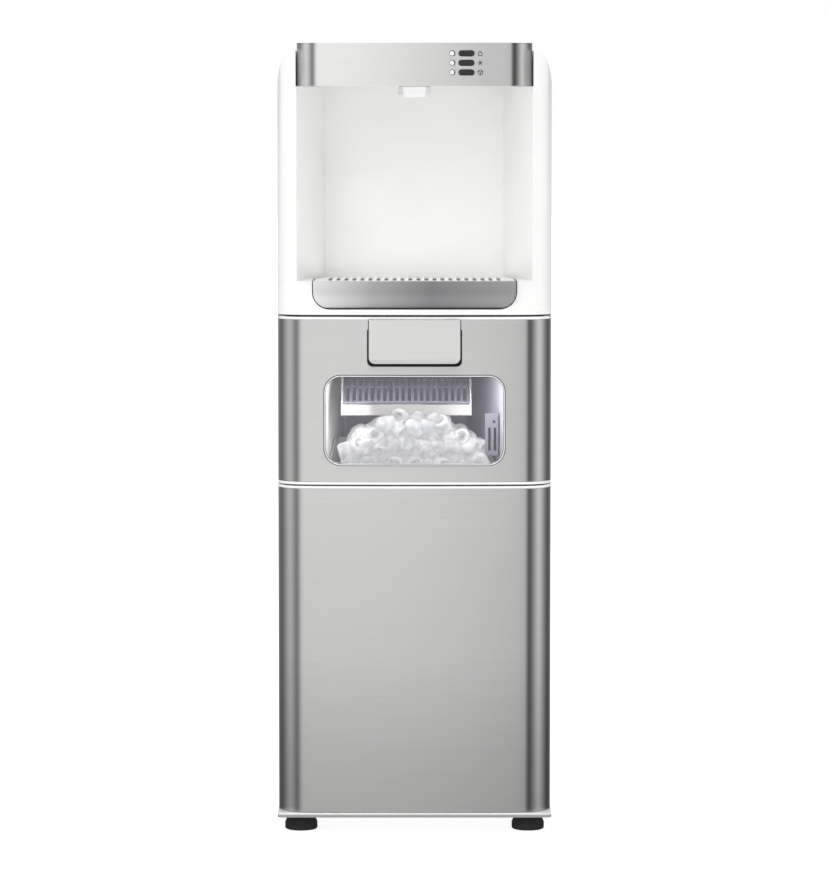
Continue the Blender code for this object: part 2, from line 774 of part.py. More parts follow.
def make_side_panels():
    """Coated sheet sides with folded flanges. The right one has the vent's opening."""
    bottom = BASE_TOP + SEAT_GAP
    top = HOUSING_LOW - SEAT_GAP
    rear = BACK - SEAT_GAP
    path = [
        (HALF - PANEL_FLANGE, PANEL_FRONT), (HALF, PANEL_FRONT), (HALF, rear), (HALF - PANEL_FLANGE, rear),
    ]
    right = sheet("right_side_panel", path, bottom, top, SKIN, finish=PANEL_GREY)
    mirrored = [(-x, y) for x, y in reversed(path)]
    sheet("left_side_panel", mirrored, bottom, top, SKIN, finish=PANEL_GREY)
    vent_y = FAN_Y
    half = VENT_WIDTH / 2 - VENT_MARGIN
    window = prism(
        "vent_opening",
        [rounded(vent_y - half, vent_y + half, VENT_LOW + VENT_MARGIN, VENT_TOP - VENT_MARGIN,
                 VENT_MARGIN)],
        HALF - SKIN - OVERRUN, HALF + OVERRUN, "X", tool=True,
    )
    cut(right, window)


def make_side_vent():
    """The grille that stands proud of the right side, plugged into the panel's opening."""
    vent_y = FAN_Y
    half = VENT_WIDTH / 2
    top = VENT_TOP
    inner = half - VENT_MARGIN - SEAT_GAP
    plug_low = VENT_LOW + VENT_MARGIN + SEAT_GAP
    plug_top = top - VENT_MARGIN - SEAT_GAP
    grille = prism(
        "side_vent_grille", [rounded(vent_y - half, vent_y + half, VENT_LOW, top, VENT_MARGIN * 2)],
        HALF + SEAT_GAP, HALF + VENT_PROUD, "X", finish=PANEL_GREY,
    )
    plug = prism(
        "vent_plug", [rounded(vent_y - inner, vent_y + inner, plug_low, plug_top, VENT_MARGIN)],
        HALF - VENT_PLUG, HALF + VENT_PROUD / 2, "X", tool=True,
    )
    join(grille, plug)
    pitch = (plug_top - plug_low) / VENT_SLOTS
    slot = pitch * VENT_SLOT_SHARE
    reach = inner - VENT_MARGIN / 2
    for i in range(VENT_SLOTS):
        middle = plug_low + pitch * (i + 0.5)
        gap = prism(
            f"vent_slot_{i}", [rounded(vent_y - reach, vent_y + reach, middle - slot / 2, middle + slot / 2,
                                       0)],
            HALF - VENT_PLUG - OVERRUN, HALF + VENT_PROUD + OVERRUN, "X", tool=True,
        )
        cut(grille, gap)


def make_rear_panel():
    """The sheet-metal back with its louvres and the opening for the mains inlet."""
    side = HALF - SKIN
    low = BASE_TOP + SEAT_GAP
    right = shoulder_arc(SKIN)
    outlines = [[(-side, low), (side, low)] + right + [(-x, z) for x, z in reversed(right)]]
    for i in range(LOUVRE_COUNT):
        z = BASE_TOP + LOUVRE_RISE + LOUVRE_PITCH * i
        for left in (-LOUVRE_LENGTH - LOUVRE_PITCH, LOUVRE_PITCH):
            if left > 0 and z < BASE_TOP + INLET_RISE + INLET_HEIGHT + LOUVRE_PITCH:
                continue
            outlines.append(rounded(left, left + LOUVRE_LENGTH, z, z + LOUVRE_SLOT, 0))
    x = INLET_X
    z = BASE_TOP + INLET_RISE
    outlines.append(rounded(x - INLET_WIDTH / 2 - SEAT_GAP, x + INLET_WIDTH / 2 + SEAT_GAP,
                            z - INLET_HEIGHT / 2 - SEAT_GAP, z + INLET_HEIGHT / 2 + SEAT_GAP, SKIN))
    prism("rear_panel", outlines, BACK, BACK + SKIN, "Y", finish=PANEL_GREY)


def make_power_inlet():
    """A recessed three-pin inlet in the back. The photograph shows no cord, so there is only the inlet."""
    x = INLET_X
    z = BASE_TOP + INLET_RISE
    wide, tall = INLET_WIDTH / 2, INLET_HEIGHT / 2
    inlet = block("power_inlet", (x - wide, BACK + SKIN - INLET_DEPTH, z - tall),
                  (x + wide, BACK + SKIN + INLET_PROUD, z + tall), BLACK)
    flange = block("inlet_flange",
                   (x - wide - INLET_FLANGE, BACK + SKIN + SEAT_GAP, z - tall - INLET_FLANGE),
                   (x + wide + INLET_FLANGE, BACK + SKIN + INLET_PROUD, z + tall + INLET_FLANGE), tool=True)
    floor = BACK + SKIN + INLET_PROUD - INLET_RECESS
    recess = block("inlet_recess", (x - wide + INLET_WALL, floor, z - tall + INLET_WALL),
                   (x + wide - INLET_WALL, BACK + SKIN + INLET_PROUD + OVERRUN,
                    z + tall - INLET_WALL), tool=True)
    join(inlet, flange)
    cut(inlet, recess)
    for i, rise in ((-1, 0), (0, INLET_PIN), (1, 0)):
        pin_x = x + i * INLET_PIN_PITCH
        pin = block(f"inlet_pin_{i + 1}", (pin_x - INLET_PIN / 2, floor - INLET_PIN, z + rise - INLET_PIN),
                    (pin_x + INLET_PIN / 2, floor + INLET_PIN_LENGTH, z + rise + INLET_PIN), tool=True)
        join(inlet, pin)


def make_lower_panel():
    """The big brushed-steel front panel, a bent skin on a white frame whose rim shows along the top."""
    low = BASE_TOP + SEAT_GAP
    sheet("lower_panel_skin", front_run(HALF, CORNER_RADIUS, 0), low, PANEL_TOP - RIM_HEIGHT - SEAT_GAP,
          SKIN,
          finish=STEEL)
    inset = SKIN + SEAT_GAP
    frame = sheet("lower_panel_frame", front_run(HALF, CORNER_RADIUS, inset), low,
                  PANEL_TOP - RIM_HEIGHT / 2,
                  FRAME_WALL, finish=WHITE)
    outer = front_run(HALF, CORNER_RADIUS, 0)
    inner = front_run(HALF, CORNER_RADIUS, RIM_DEPTH)
    rim = prism("lower_rim", [outer + inner[::-1]], PANEL_TOP - RIM_HEIGHT, PANEL_TOP, tool=True)
    join(frame, rim)


def make_door():
    """The tilting ice door: steel skin, foamed frame, clear window, pull tab, gasket and hinge rod."""
    skin_low = DOOR_LOW + RIM_HEIGHT
    skin_top = DOOR_TOP - RIM_HEIGHT
    window_low = DOOR_LOW + WINDOW_RISE
    window_top = window_low + WINDOW_HEIGHT
    half = WINDOW_WIDTH / 2
    tab_low = skin_top - TAB_HEIGHT
    pocket = (TAB_WIDTH / 2 + POCKET_MARGIN, tab_low - POCKET_DROP, skin_top - TAB_SEAT)

    skin = sheet("door_skin", front_run(HALF, CORNER_RADIUS, 0), skin_low + SEAT_GAP, skin_top - SEAT_GAP,
                 SKIN,
                 finish=STEEL)
    front_cut, rear_cut = FRONT - OVERRUN, FRONT + DOOR_THICKNESS + OVERRUN
    aperture = prism("skin_aperture", [rounded(-half, half, window_low, window_top, WINDOW_RADIUS)],
                     front_cut, rear_cut, "Y", tool=True)
    pocket_outline = rounded(-pocket[0], pocket[0], pocket[1], pocket[2],
                             (TAB_RADIUS + POCKET_MARGIN, TAB_RADIUS + POCKET_MARGIN, 0, 0))
    pocket_mouth = prism("pocket_mouth", [pocket_outline], front_cut, FRONT + POCKET_DEPTH, "Y", tool=True)
    cut(skin, aperture, pocket_mouth)

    inset = SKIN + SEAT_GAP
    plan = front_run(HALF, CORNER_RADIUS, inset)
    edge = DOOR_SIDE_WALL + inset
    plan += [(HALF - edge, CORNER_Y), (HALF - edge, DOOR_BACK), (edge - HALF, DOOR_BACK),
             (edge - HALF, CORNER_Y)]
    frame = prism("door_frame", [plan], DOOR_LOW, DOOR_TOP, finish=WHITE)
    outer = front_run(HALF, CORNER_RADIUS, 0)
    inner = front_run(HALF, CORNER_RADIUS, RIM_DEPTH)
    for name, low, high in (("door_low_rim", DOOR_LOW, skin_low), ("door_top_rim", skin_top, DOOR_TOP)):
        join(frame, prism(name, [outer + inner[::-1]], low, high, tool=True))
    foot_y = FRONT + DOOR_FOOT_THICKNESS
    relief = block("door_foot_relief", (-HALF - OVERRUN, foot_y, DOOR_LOW - OVERRUN),
                   (HALF + OVERRUN, CORNER_Y + OVERRUN, HINGE_Z + SEAT_GAP), tool=True)
    trim_half = HALF - edge - SEAT_GAP
    trim = block("door_top_trim", (-trim_half, DOOR_BACK + SEAT_GAP, skin_top - OVERRUN),
                 (trim_half, CORNER_Y + OVERRUN * 2, DOOR_TOP + OVERRUN * 2), tool=True)
    swing = block("door_swing_relief", (-HALF - OVERRUN * 2, DOOR_BACK, DOOR_TOP - DOOR_SWING_RELIEF),
                  (HALF + OVERRUN * 2, CORNER_Y + OVERRUN * 3, DOOR_TOP + OVERRUN), tool=True)
    seat = bow_y(half + WINDOW_FLANGE) - FRONT + WINDOW_THICKNESS
    seat_half = half + WINDOW_FLANGE + WINDOW_GAP
    window_seat = prism(
        "window_seat",
        [rounded(-seat_half, seat_half, window_low - WINDOW_FLANGE - WINDOW_GAP,
                 window_top + WINDOW_FLANGE + WINDOW_GAP, WINDOW_RADIUS + WINDOW_FLANGE)],
        front_cut, FRONT + seat + SEAT_GAP * 2, "Y", tool=True,
    )
    throat = prism(
        "window_throat",
        [rounded(-half + THROAT_LIP, half - THROAT_LIP, window_low + THROAT_LIP, window_top - THROAT_LIP,
                 WINDOW_RADIUS - THROAT_LIP)],
        front_cut, rear_cut + OVERRUN, "Y", tool=True,
    )
    cut(frame, relief, trim, swing, window_seat, throat, pocket_mouth)
    bore_end = HINGE_SPREAD + HINGE_ROD_REACH
    bore = rod("hinge_bore", HINGE_BORE_RADIUS, (-bore_end - SEAT_GAP, HINGE_Y, HINGE_Z),
               (bore_end + SEAT_GAP, HINGE_Y, HINGE_Z), tool=True, sides=12)
    cut(frame, bore)
    slot_half = HINGE_EAR_WIDTH / 2 + RUN_GAP
    clear = HINGE_EYE_RADIUS + SEAT_GAP
    for side in (-1, 1):
        x = side * HINGE_SPREAD
        slot = block(f"ear_slot_{side}", (x - slot_half, HINGE_Y - clear, DOOR_LOW - OVERRUN),
                     (x + slot_half, DOOR_BACK + OVERRUN, HINGE_Z + clear), tool=True)
        cut(frame, slot)

    pane_low, pane_top = window_low + WINDOW_GAP, window_top - WINDOW_GAP
    pane_half = half - WINDOW_GAP
    pane_plan = front_run(HALF, CORNER_RADIUS, 0)
    pane_back = front_run(HALF, CORNER_RADIUS, WINDOW_THICKNESS)
    pane = prism("door_window", [pane_plan + pane_back[::-1]], window_low - OVERRUN * 2,
                 window_top + OVERRUN * 2,
                 finish=CLEAR)
    keep(pane, prism("pane_outline", [rounded(-pane_half, pane_half, pane_low, pane_top,
                                              WINDOW_RADIUS - WINDOW_GAP)],
                     front_cut, rear_cut, "Y", tool=True))
    flange_plan = front_run(HALF, CORNER_RADIUS, inset)
    flange_back = front_run(HALF, CORNER_RADIUS, WINDOW_THICKNESS - SEAT_GAP)
    flange = prism("pane_flange", [flange_plan + flange_back[::-1]], window_low - OVERRUN * 2,
                   window_top + OVERRUN * 2, tool=True)
    keep(flange, prism("flange_outline",
                       [rounded(-half - WINDOW_FLANGE, half + WINDOW_FLANGE, window_low - WINDOW_FLANGE,
                                window_top + WINDOW_FLANGE, WINDOW_RADIUS + WINDOW_FLANGE - WINDOW_GAP)],
                       front_cut, rear_cut, "Y", tool=True))
    join(pane, flange)

    tab = make_tab(tab_low, skin_top - SEAT_GAP)
    gasket_low = HINGE_Z + TAB_WALL
    gasket_top = DOOR_TOP - TAB_WALL
    band = GASKET_BAND
    gasket = prism(
        "door_gasket",
        [
            rounded(-GASKET_HALF_WIDTH, GASKET_HALF_WIDTH, gasket_low, gasket_top, band),
            rounded(band - GASKET_HALF_WIDTH, GASKET_HALF_WIDTH - band, gasket_low + band,
                    gasket_top - band,
                    band / 2),
        ],
        DOOR_BACK + SEAT_GAP, FLANGE_FRONT - SEAT_GAP, "Y", finish=GASKET,
    )
    hinge_rod = rod("hinge_rod", HINGE_ROD_RADIUS, (-bore_end, HINGE_Y, HINGE_Z),
                    (bore_end, HINGE_Y, HINGE_Z),
                    TUBE_STEEL, sides=12)
    axis_at("ice_door_axis", (0, HINGE_Y, HINGE_Z), skin, frame, pane, tab, gasket, hinge_rod)


def make_tab(low, high):
    """The wedge-shaped pull: a plate that leans out towards its lower edge, with a finger hollow behind."""
    back = FRONT - SEAT_GAP
    nose_y = FRONT - TAB_PROUD
    top_y = FRONT - TAB_TOP_PROUD
    half = TAB_WIDTH / 2
    profile = [(back, high), (top_y, high), (nose_y, low + TAB_NOSE * 2), (nose_y, low), (back, low)]
    tab = prism("door_tab", [profile], -half, half, "X", finish=STEEL)
    keep(tab, prism("tab_outline",
                    [rounded(-half, half, low, high + OVERRUN, (TAB_RADIUS, TAB_RADIUS, 0, 0))],
                    nose_y - OVERRUN, FRONT + OVERRUN, "Y", tool=True))
    inner_top = high - TAB_SEAT
    slope = (top_y - nose_y) / (high - low - TAB_NOSE * 2)
    top_inner_y = top_y - slope * TAB_SEAT + TAB_WALL
    hollow = [(FRONT + OVERRUN, inner_top), (min(top_inner_y, FRONT - SEAT_GAP * 2), inner_top),
              (nose_y + TAB_WALL, low + TAB_NOSE * 2), (nose_y + TAB_WALL, low - OVERRUN),
              (FRONT + OVERRUN, low - OVERRUN)]
    cut(tab, prism("tab_hollow", [hollow], TAB_WALL - half, half - TAB_WALL, "X", tool=True))
    return tab


def make_hinge_sill():
    """The fixed bar below the gasket, with two ears that hold the hinge rod."""
    back = FLANGE_FRONT - SEAT_GAP
    front = back - SILL_DEPTH
    low = HINGE_Z - SILL_DROP
    sill = block("hinge_sill", (-SILL_REACH, front, low), (SILL_REACH, back, low + SILL_HEIGHT), GALVANISED)
    root_low = low + (SILL_DROP - SILL_HEIGHT)
    for side in (-1, 1):
        x = side * HINGE_SPREAD
        eye = arc((HINGE_Y, HINGE_Z), HINGE_EYE_RADIUS, 90, 270, 8)
        outline = eye + [(front + SILL_DEPTH / 2, root_low), (front + SILL_DEPTH / 2, low + SILL_HEIGHT)]
        ear = prism(f"hinge_ear_{side}", [outline], x - HINGE_EAR_WIDTH / 2, x + HINGE_EAR_WIDTH / 2, "X",
                    tool=True)
        join(sill, ear)
    cut(sill, rod("sill_bore", HINGE_BORE_RADIUS, (-SILL_REACH, HINGE_Y, HINGE_Z),
                  (SILL_REACH, HINGE_Y, HINGE_Z),
                  tool=True, sides=12))


def make_ice_liner():
    """The ice compartment's moulded lining, open at the front, with walls that draw in towards the back."""
    floor = LINER_LOW + LINER_WALL
    roof = LINER_TOP - LINER_WALL
    end = LINER_FRONT + LINER_DEPTH
    start = LINER_FRONT - LINER_FLANGE / 2
    outer = [
        (inner_left(start) - LINER_WALL, start), (inner_right(start) + LINER_WALL, start),
        (inner_right(end) + LINER_WALL, end + LINER_WALL), (inner_left(end) - LINER_WALL, end + LINER_WALL),
    ]
    inner = [(inner_left(LINER_FRONT), LINER_FRONT), (inner_right(LINER_FRONT), LINER_FRONT),
             (inner_right(end), end), (inner_left(end), end)]
    liner = prism("ice_liner", [outer], LINER_LOW, LINER_TOP, finish=WHITE)
    flange = prism(
        "liner_flange", [rounded(-LINER_FLANGE_HALF, LINER_FLANGE_HALF, LINER_LOW, LINER_TOP, LINER_WALL)],
        FLANGE_FRONT, LINER_FRONT, "Y", tool=True,
    )
    hollow = prism("liner_hollow", [inner], floor, roof, tool=True)
    mouth_half = LINER_MOUTH_HALF - LINER_LIP
    door_hole = prism("liner_mouth",
                      [rounded(-mouth_half, mouth_half, LINER_LOW + LINER_LIP_RISE, roof - LINER_LIP,
                                              LINER_MOUTH_CORNER)],
                      FLANGE_FRONT - OVERRUN, LINER_FRONT + OVERRUN, "Y", tool=True)
    join(liner, flange)
    cut(liner, hollow, door_hole)
    pivot_y, pivot_z = tray_axis()
    cut(liner, rod("motor_shaft_hole", TRAY_PIVOT_BORE + RUN_GAP, (0, pivot_y, pivot_z),
                   (HALF, pivot_y, pivot_z),
                   tool=True, sides=16))
    fill_z = pivot_z - TRAY_RADIUS + FILL_HEIGHT
    cut(liner, rod("fill_hole", FILL_RADIUS + RUN_GAP, (fill_x(), end - OVERRUN, fill_z),
                   (fill_x(), end + LINER_WALL + OVERRUN, fill_z), tool=True, sides=16))
    wall = right_wall_frame()
    lens_hole = rod("sensor_hole", SENSOR_LENS_RADIUS + RUN_GAP, wall @ Vector((-LINER_WALL, 0, 0)),
                    wall @ Vector((LINER_WALL * 2, 0, 0)), tool=True, sides=12)
    cut(liner, lens_hole)
    for i in (0, 1):
        slot = block(f"sensor_slot_{i}", (-LINER_WALL, -SENSOR_SLOT_WIDTH / 2, -SENSOR_SLOT_LENGTH),
                     (LINER_WALL * 2, SENSOR_SLOT_WIDTH / 2, 0), tool=True)
        centre = wall @ Vector((LINER_WALL / 2, (i - 0.5) * SENSOR_SLOT_PITCH,
                                -SENSOR_SLOT_DROP - SENSOR_SLOT_LENGTH / 2))
        slot.rotation_euler = wall.to_euler()
        slot.location = centre
        cut(liner, slot)


def right_wall_frame():
    """A frame on the compartment's right wall at the sensor: X out through the wall, Y towards the back."""
    y = FRONT + SENSOR_SETBACK
    lean = math.atan((LINER_MOUTH_HALF - LINER_BACK_RIGHT) / LINER_DEPTH)
    return Matrix.Translation((inner_right(y), y, LINER_LOW + SENSOR_RISE)) @ Matrix.Rotation(lean, 4, "Z")


def make_bin_sensor():
    """The optical sensor that sees when the basket is full, clipped behind the right wall."""
    wall = right_wall_frame()
    face = LINER_WALL + SEAT_GAP
    half = SENSOR_SIZE / 2
    body = block("bin_full_sensor", (-half / 2, -half, -half), (half / 2, half, half), DARK)
    body.rotation_euler = wall.to_euler()
    body.location = wall @ Vector((face + half / 2, 0, 0))
    lens = rod("sensor_lens", SENSOR_LENS_RADIUS, wall @ Vector((0, 0, 0)),
               wall @ Vector((face + half / 2, 0, 0)), tool=True, sides=12)
    join(body, lens)


def make_ice_basket():
    """The lift-out basket on the compartment's floor, with walls that rise towards the back."""
    floor = LINER_LOW + LINER_WALL + SEAT_GAP
    front = LINER_FRONT + BASKET_SETBACK
    back = front + BASKET_DEPTH
    gap = BASKET_MARGIN
    outer = [(inner_left(front) + gap, front), (inner_right(front) - gap, front),
             (inner_right(back) - gap, back),
             (inner_left(back) + gap, back)]
    wall = BASKET_WALL
    inner = [(inner_left(front) + gap + wall, front + wall),
             (inner_right(front) - gap - wall, front + wall),
             (inner_right(back) - gap - wall, back - wall), (inner_left(back) + gap + wall, back - wall)]
    basket = prism("ice_basket", [outer], floor, floor + BASKET_BACK_HEIGHT, finish=WHITE)
    side = [(front - OVERRUN, floor + BASKET_FRONT_HEIGHT),
            (front + BASKET_DEPTH / 3, floor + BASKET_FRONT_HEIGHT),
            (back - BASKET_DEPTH / 4, floor + BASKET_BACK_HEIGHT),
            (back - BASKET_DEPTH / 4, floor + BASKET_BACK_HEIGHT + OVERRUN),
            (front - OVERRUN, floor + BASKET_BACK_HEIGHT + OVERRUN)]
    cut(basket, prism("basket_hollow", [inner], floor + wall, floor + BASKET_BACK_HEIGHT + OVERRUN,
                      tool=True))
    cut(basket, prism("basket_slope", [side], -HALF, HALF, "X", tool=True))


def tray_axis():
    """The tilting water tray's axis, as (y, z)."""
    return FRONT + TRAY_AXIS_SETBACK, LINER_TOP - TRAY_AXIS_DROP


def fill_x():
    """Where the fill hose comes through the back wall: near the tray's right end."""
    return CHEEK_RIGHT / 2


def chute_front():
    """The chute's lower front edge, as (y, z)."""
    return FRONT + CHUTE_FRONT_SETBACK, LINER_TOP - TRAY_AXIS_DROP - CHUTE_DROP


def make_ice_maker_frame():
    """Two cheeks joined by a front bar and a crossbar. It carries the chute, tray and evaporator."""
    pivot_y, pivot_z = tray_axis()
    front_y, front_z = chute_front()
    top = LINER_TOP - LINER_WALL - SEAT_GAP
    rear = pivot_y + TRAY_RADIUS + TRAY_END_GAP * 2
    rise = math.tan(CHUTE_SLOPE)
    bar_front = front_y - FRONT_BAR_DEPTH
    low = front_z - FRONT_BAR_HEIGHT
    outline = [
        (bar_front, low), (front_y, low), (front_y + FRONT_BAR_DEPTH, low + FRONT_BAR_DEPTH / 2),
        (rear, low + (rear - front_y) * rise), (rear, top), (pivot_y - CROSSBAR_DEPTH, top),
        (pivot_y - TRAY_RADIUS - TRAY_END_GAP, pivot_z + CROSSBAR), (bar_front, front_z + CROSSBAR),
    ]
    left = -CHEEK_LEFT
    right = CHEEK_RIGHT
    frame = prism("ice_maker_frame", [outline], left - CHEEK_WALL, left, "X", finish=WHITE)
    mate = prism("right_cheek", [outline], right, right + CHEEK_WALL, "X", tool=True)
    lap = CHEEK_WALL / 2
    bar = block("front_bar", (left - lap, bar_front + SEAT_GAP, low + SEAT_GAP),
                (right + lap, front_y, front_z - SEAT_GAP), tool=True)
    cross = block("top_crossbar", (left - lap, pivot_y - CROSSBAR_DEPTH / 2, top - CROSSBAR),
                  (right + lap, pivot_y + CROSSBAR_DEPTH / 2, top - SEAT_GAP), tool=True)
    rear_top = top - CROSSBAR - PLATE_THICKNESS - CROSSBAR / 2
    foot = block("rear_crossbar", (left - lap, rear - CROSSBAR, rear_top - CROSSBAR * 2),
                 (right + lap, rear - SEAT_GAP, rear_top), tool=True)
    join(frame, bar, mate, cross, foot)
    cut(frame, rod("tray_pivot_bores", TRAY_PIVOT_BORE, (left - OVERRUN, pivot_y, pivot_z),
                   (right + OVERRUN, pivot_y, pivot_z), tool=True, sides=16))


def make_ice_chute():
    """The sloping chute that the ice slides down: a landing plate, then rows of slots between rails."""
    front_y, front_z = chute_front()
    left = SEAT_GAP - CHEEK_LEFT
    right = CHEEK_RIGHT - SEAT_GAP
    outline = [(left, 0), (right, 0), (right, CHUTE_LENGTH), (left, CHUTE_LENGTH)]
    pitch = (right - left - CHUTE_RAIL) / CHUTE_SLATS
    row = CHUTE_LENGTH / CHUTE_ROWS
    slots = []
    for r in range(CHUTE_ROWS - 1):
        for s in range(CHUTE_SLATS):
            x = left + CHUTE_RAIL / 2 + pitch * (s + SLAT_SHARE / 2)
            y = CHUTE_RAIL + row * r
            wide = pitch * (1 - SLAT_SHARE)
            slots.append([(x, y), (x + wide, y), (x + wide, y + row - CHUTE_RAIL),
                          (x, y + row - CHUTE_RAIL)])
    chute = prism("ice_chute", [outline] + slots, 0, CHUTE_THICKNESS, finish=WHITE)
    chute.rotation_euler = (CHUTE_SLOPE, 0, 0)
    lift = CHUTE_THICKNESS * 0.5
    chute.location = (0, front_y + lift * math.sin(CHUTE_SLOPE) + SEAT_GAP, front_z + lift)


def make_water_tray():
    """The tilting trough that the freezing fingers dip into, with a pivot at each end."""
    pivot_y, pivot_z = tray_axis()
    left = -CHEEK_LEFT + TRAY_END_GAP
    right = CHEEK_RIGHT - TRAY_END_GAP
    low = 270 - math.degrees(TRAY_HALF_ARC)
    high = 270 + math.degrees(TRAY_HALF_ARC)
    outer = arc((0, 0), TRAY_RADIUS, low, high, TRAY_ARC_STEPS)
    inner = arc((0, 0), TRAY_RADIUS - TRAY_WALL, high, low, TRAY_ARC_STEPS)
    tray = prism("water_tray", [outer + inner], left, right, "X", finish=WHITE)
    ends = []
    for name, start in (("left_end", left), ("right_end", right - TRAY_WALL)):
        plate = arc((0, 0), TRAY_RADIUS, low, high,
                    TRAY_ARC_STEPS) + [(TRAY_PIVOT_RADIUS * 2, TRAY_PIVOT_RADIUS * 2),
                                                                      (-TRAY_PIVOT_RADIUS * 2,
                                                                       TRAY_PIVOT_RADIUS * 2)]
        ends.append(prism(f"tray_{name}", [plate], start, start + TRAY_WALL, "X", tool=True))
    pivots = [
        rod("tray_left_pivot", TRAY_PIVOT_RADIUS, (-CHEEK_LEFT - CHEEK_WALL, 0, 0),
            (left + TRAY_WALL / 2, 0, 0),
            tool=True, sides=16),
        rod("tray_right_pivot", TRAY_PIVOT_RADIUS, (right - TRAY_WALL / 2, 0, 0),
            (motor_face() + TRAY_RADIUS / 3, 0, 0),
            tool=True, sides=16),
    ]
    join(tray, *ends, *pivots)
    for tool in ends + pivots:
        tool.location += Vector((0, pivot_y, pivot_z))
    tray.location += Vector((0, pivot_y, pivot_z))
    axis_at("water_tray_axis", (0, pivot_y, pivot_z), tray)


def motor_face():
    """The tray motor's left face, clear of the compartment's leaning right wall."""
    pivot_y, _ = tray_axis()
    return inner_right(pivot_y - MOTOR_SIZE / 2) + LINER_WALL * MOTOR_FACE_SHARE


def make_tray_motor():
    """The geared motor that tips the tray, on the outside of the compartment's right wall."""
    pivot_y, pivot_z = tray_axis()
    face = motor_face() + SEAT_GAP
    half = MOTOR_SIZE / 2
    motor = block("tray_motor", (face, pivot_y - half, pivot_z - half),
                  (face + MOTOR_LENGTH, pivot_y + half, pivot_z + half),
                  MOTOR_CASE)
    can = rod("motor_can", half * MOTOR_CAN_SHARE, (face + MOTOR_LENGTH / 2, pivot_y, pivot_z),
              (face + MOTOR_LENGTH * MOTOR_CAN_REACH, pivot_y, pivot_z), tool=True)
    bore = rod("motor_bore", TRAY_PIVOT_BORE, (face - OVERRUN, pivot_y, pivot_z),
               (face + TRAY_RADIUS / 2, pivot_y, pivot_z), tool=True, sides=16)
    join(motor, can)
    cut(motor, bore)


def make_evaporator():
    """The cold plate with its row of freezing fingers and the two refrigerant stubs."""
    pivot_y, pivot_z = tray_axis()
    low = LINER_TOP - LINER_WALL - CROSSBAR - PLATE_THICKNESS - 2 * SEAT_GAP
    left = -CHEEK_LEFT + TRAY_END_GAP + FINGER_RADIUS
    right = CHEEK_RIGHT - TRAY_END_GAP - FINGER_RADIUS
    half = PLATE_WIDTH / 2
    plate = block("evaporator", (left, pivot_y - half, low), (right, pivot_y + half, low + PLATE_THICKNESS),
                  TUBE_STEEL)
    span = (right - left) / FINGER_COUNT
    for i in range(FINGER_COUNT):
        x = left + span * (i + 0.5)
        finger = rod(f"finger_{i}", FINGER_RADIUS, (x, pivot_y, low + PLATE_THICKNESS / 2),
                     (x, pivot_y, low - FINGER_LENGTH), tool=True, sides=8, end_radius=FINGER_TIP_RADIUS)
        join(plate, finger)
    end = LINER_FRONT + LINER_DEPTH - SEAT_GAP
    for i in (0, 1):
        x = left + span * (i + 0.5)
        stub = rod(f"cold_stub_{i}", PLATE_THICKNESS * STUB_SHARE, (x, pivot_y, low + PLATE_THICKNESS / 2),
                   (x, end, low + PLATE_THICKNESS / 2), tool=True, sides=8)
        join(plate, stub)


def make_fan():
    """The square fan frame behind the side vent, and the bladed rotor that turns in it."""
    y, z = FAN_Y, VENT_LOW + VENT_HEIGHT / 2
    outer = HALF - SKIN - VENT_PLUG - PANEL_GAP
    inner = outer - FAN_THICKNESS
    half = FAN_SIZE / 2
    frame = block("fan_shroud", (inner, y - half, z - half), (outer, y + half, z + half), MOTOR_CASE)
    cut(frame, rod("fan_opening", FAN_BORE_RADIUS, (inner - OVERRUN, y, z), (outer + OVERRUN, y, z),
                   tool=True, sides=24))
    motor_end = inner + FAN_ARM_DEPTH * 2
    join(frame, rod("fan_motor", FAN_HUB_RADIUS, (inner, y, z), (motor_end, y, z), tool=True, sides=16))
    reach = FAN_BORE_RADIUS + FAN_ARM_WIDTH / 2
    across = block("fan_arm_across", (inner, y - reach, z - FAN_ARM_WIDTH / 2),
                   (inner + FAN_ARM_DEPTH, y + reach, z + FAN_ARM_WIDTH / 2), tool=True)
    upright = block("fan_arm_upright", (inner, y - FAN_ARM_WIDTH / 2, z - reach),
                    (inner + FAN_ARM_DEPTH, y + FAN_ARM_WIDTH / 2, z + reach), tool=True)
    join(frame, across, upright)

    hub_start = motor_end + SEAT_GAP
    hub = rod("condenser_fan", FAN_HUB_RADIUS, (hub_start, y, z), (hub_start + FAN_HUB_LENGTH, y, z), DARK,
              sides=16)
    blades = make_blades((hub_start + FAN_HUB_LENGTH / 2, y, z))
    join(hub, blades)
    axis_at("condenser_fan_axis", (hub_start, y, z), hub)
    return inner


def make_blades(centre):
    """All the fan's blades as one tool: each a grid, twisted from root to tip and thickened."""
    shape = bmesh.new()
    root = FAN_HUB_RADIUS * BLADE_ROOT_SHARE
    for i in range(FAN_BLADES):
        turn = Matrix.Rotation(2 * math.pi * i / FAN_BLADES, 4, "X")
        made = bmesh.ops.create_grid(shape, x_segments=1, y_segments=3, size=0.5)
        for vert in made["verts"]:
            out = vert.co.y + 0.5
            radius = root + (FAN_TIP_RADIUS - root) * out
            twist = FAN_ROOT_TWIST + (FAN_TIP_TWIST - FAN_ROOT_TWIST) * out
            side = vert.co.x * FAN_BLADE_CHORD * (BLADE_ROOT_CHORD + (1 - BLADE_ROOT_CHORD) * out)
            vert.co = turn @ Vector((side * math.sin(twist), side * math.cos(twist), radius))
    bmesh.ops.recalc_face_normals(shape, faces=shape.faces)
    blades = from_bmesh("fan_blades", shape, tool=True, smooth=True)
    blades.location = centre
    wall = blades.modifiers.new("blade_thickness", "SOLIDIFY")
    wall.thickness = FAN_BLADE_THICKNESS
    wall.offset = 0
    return blades


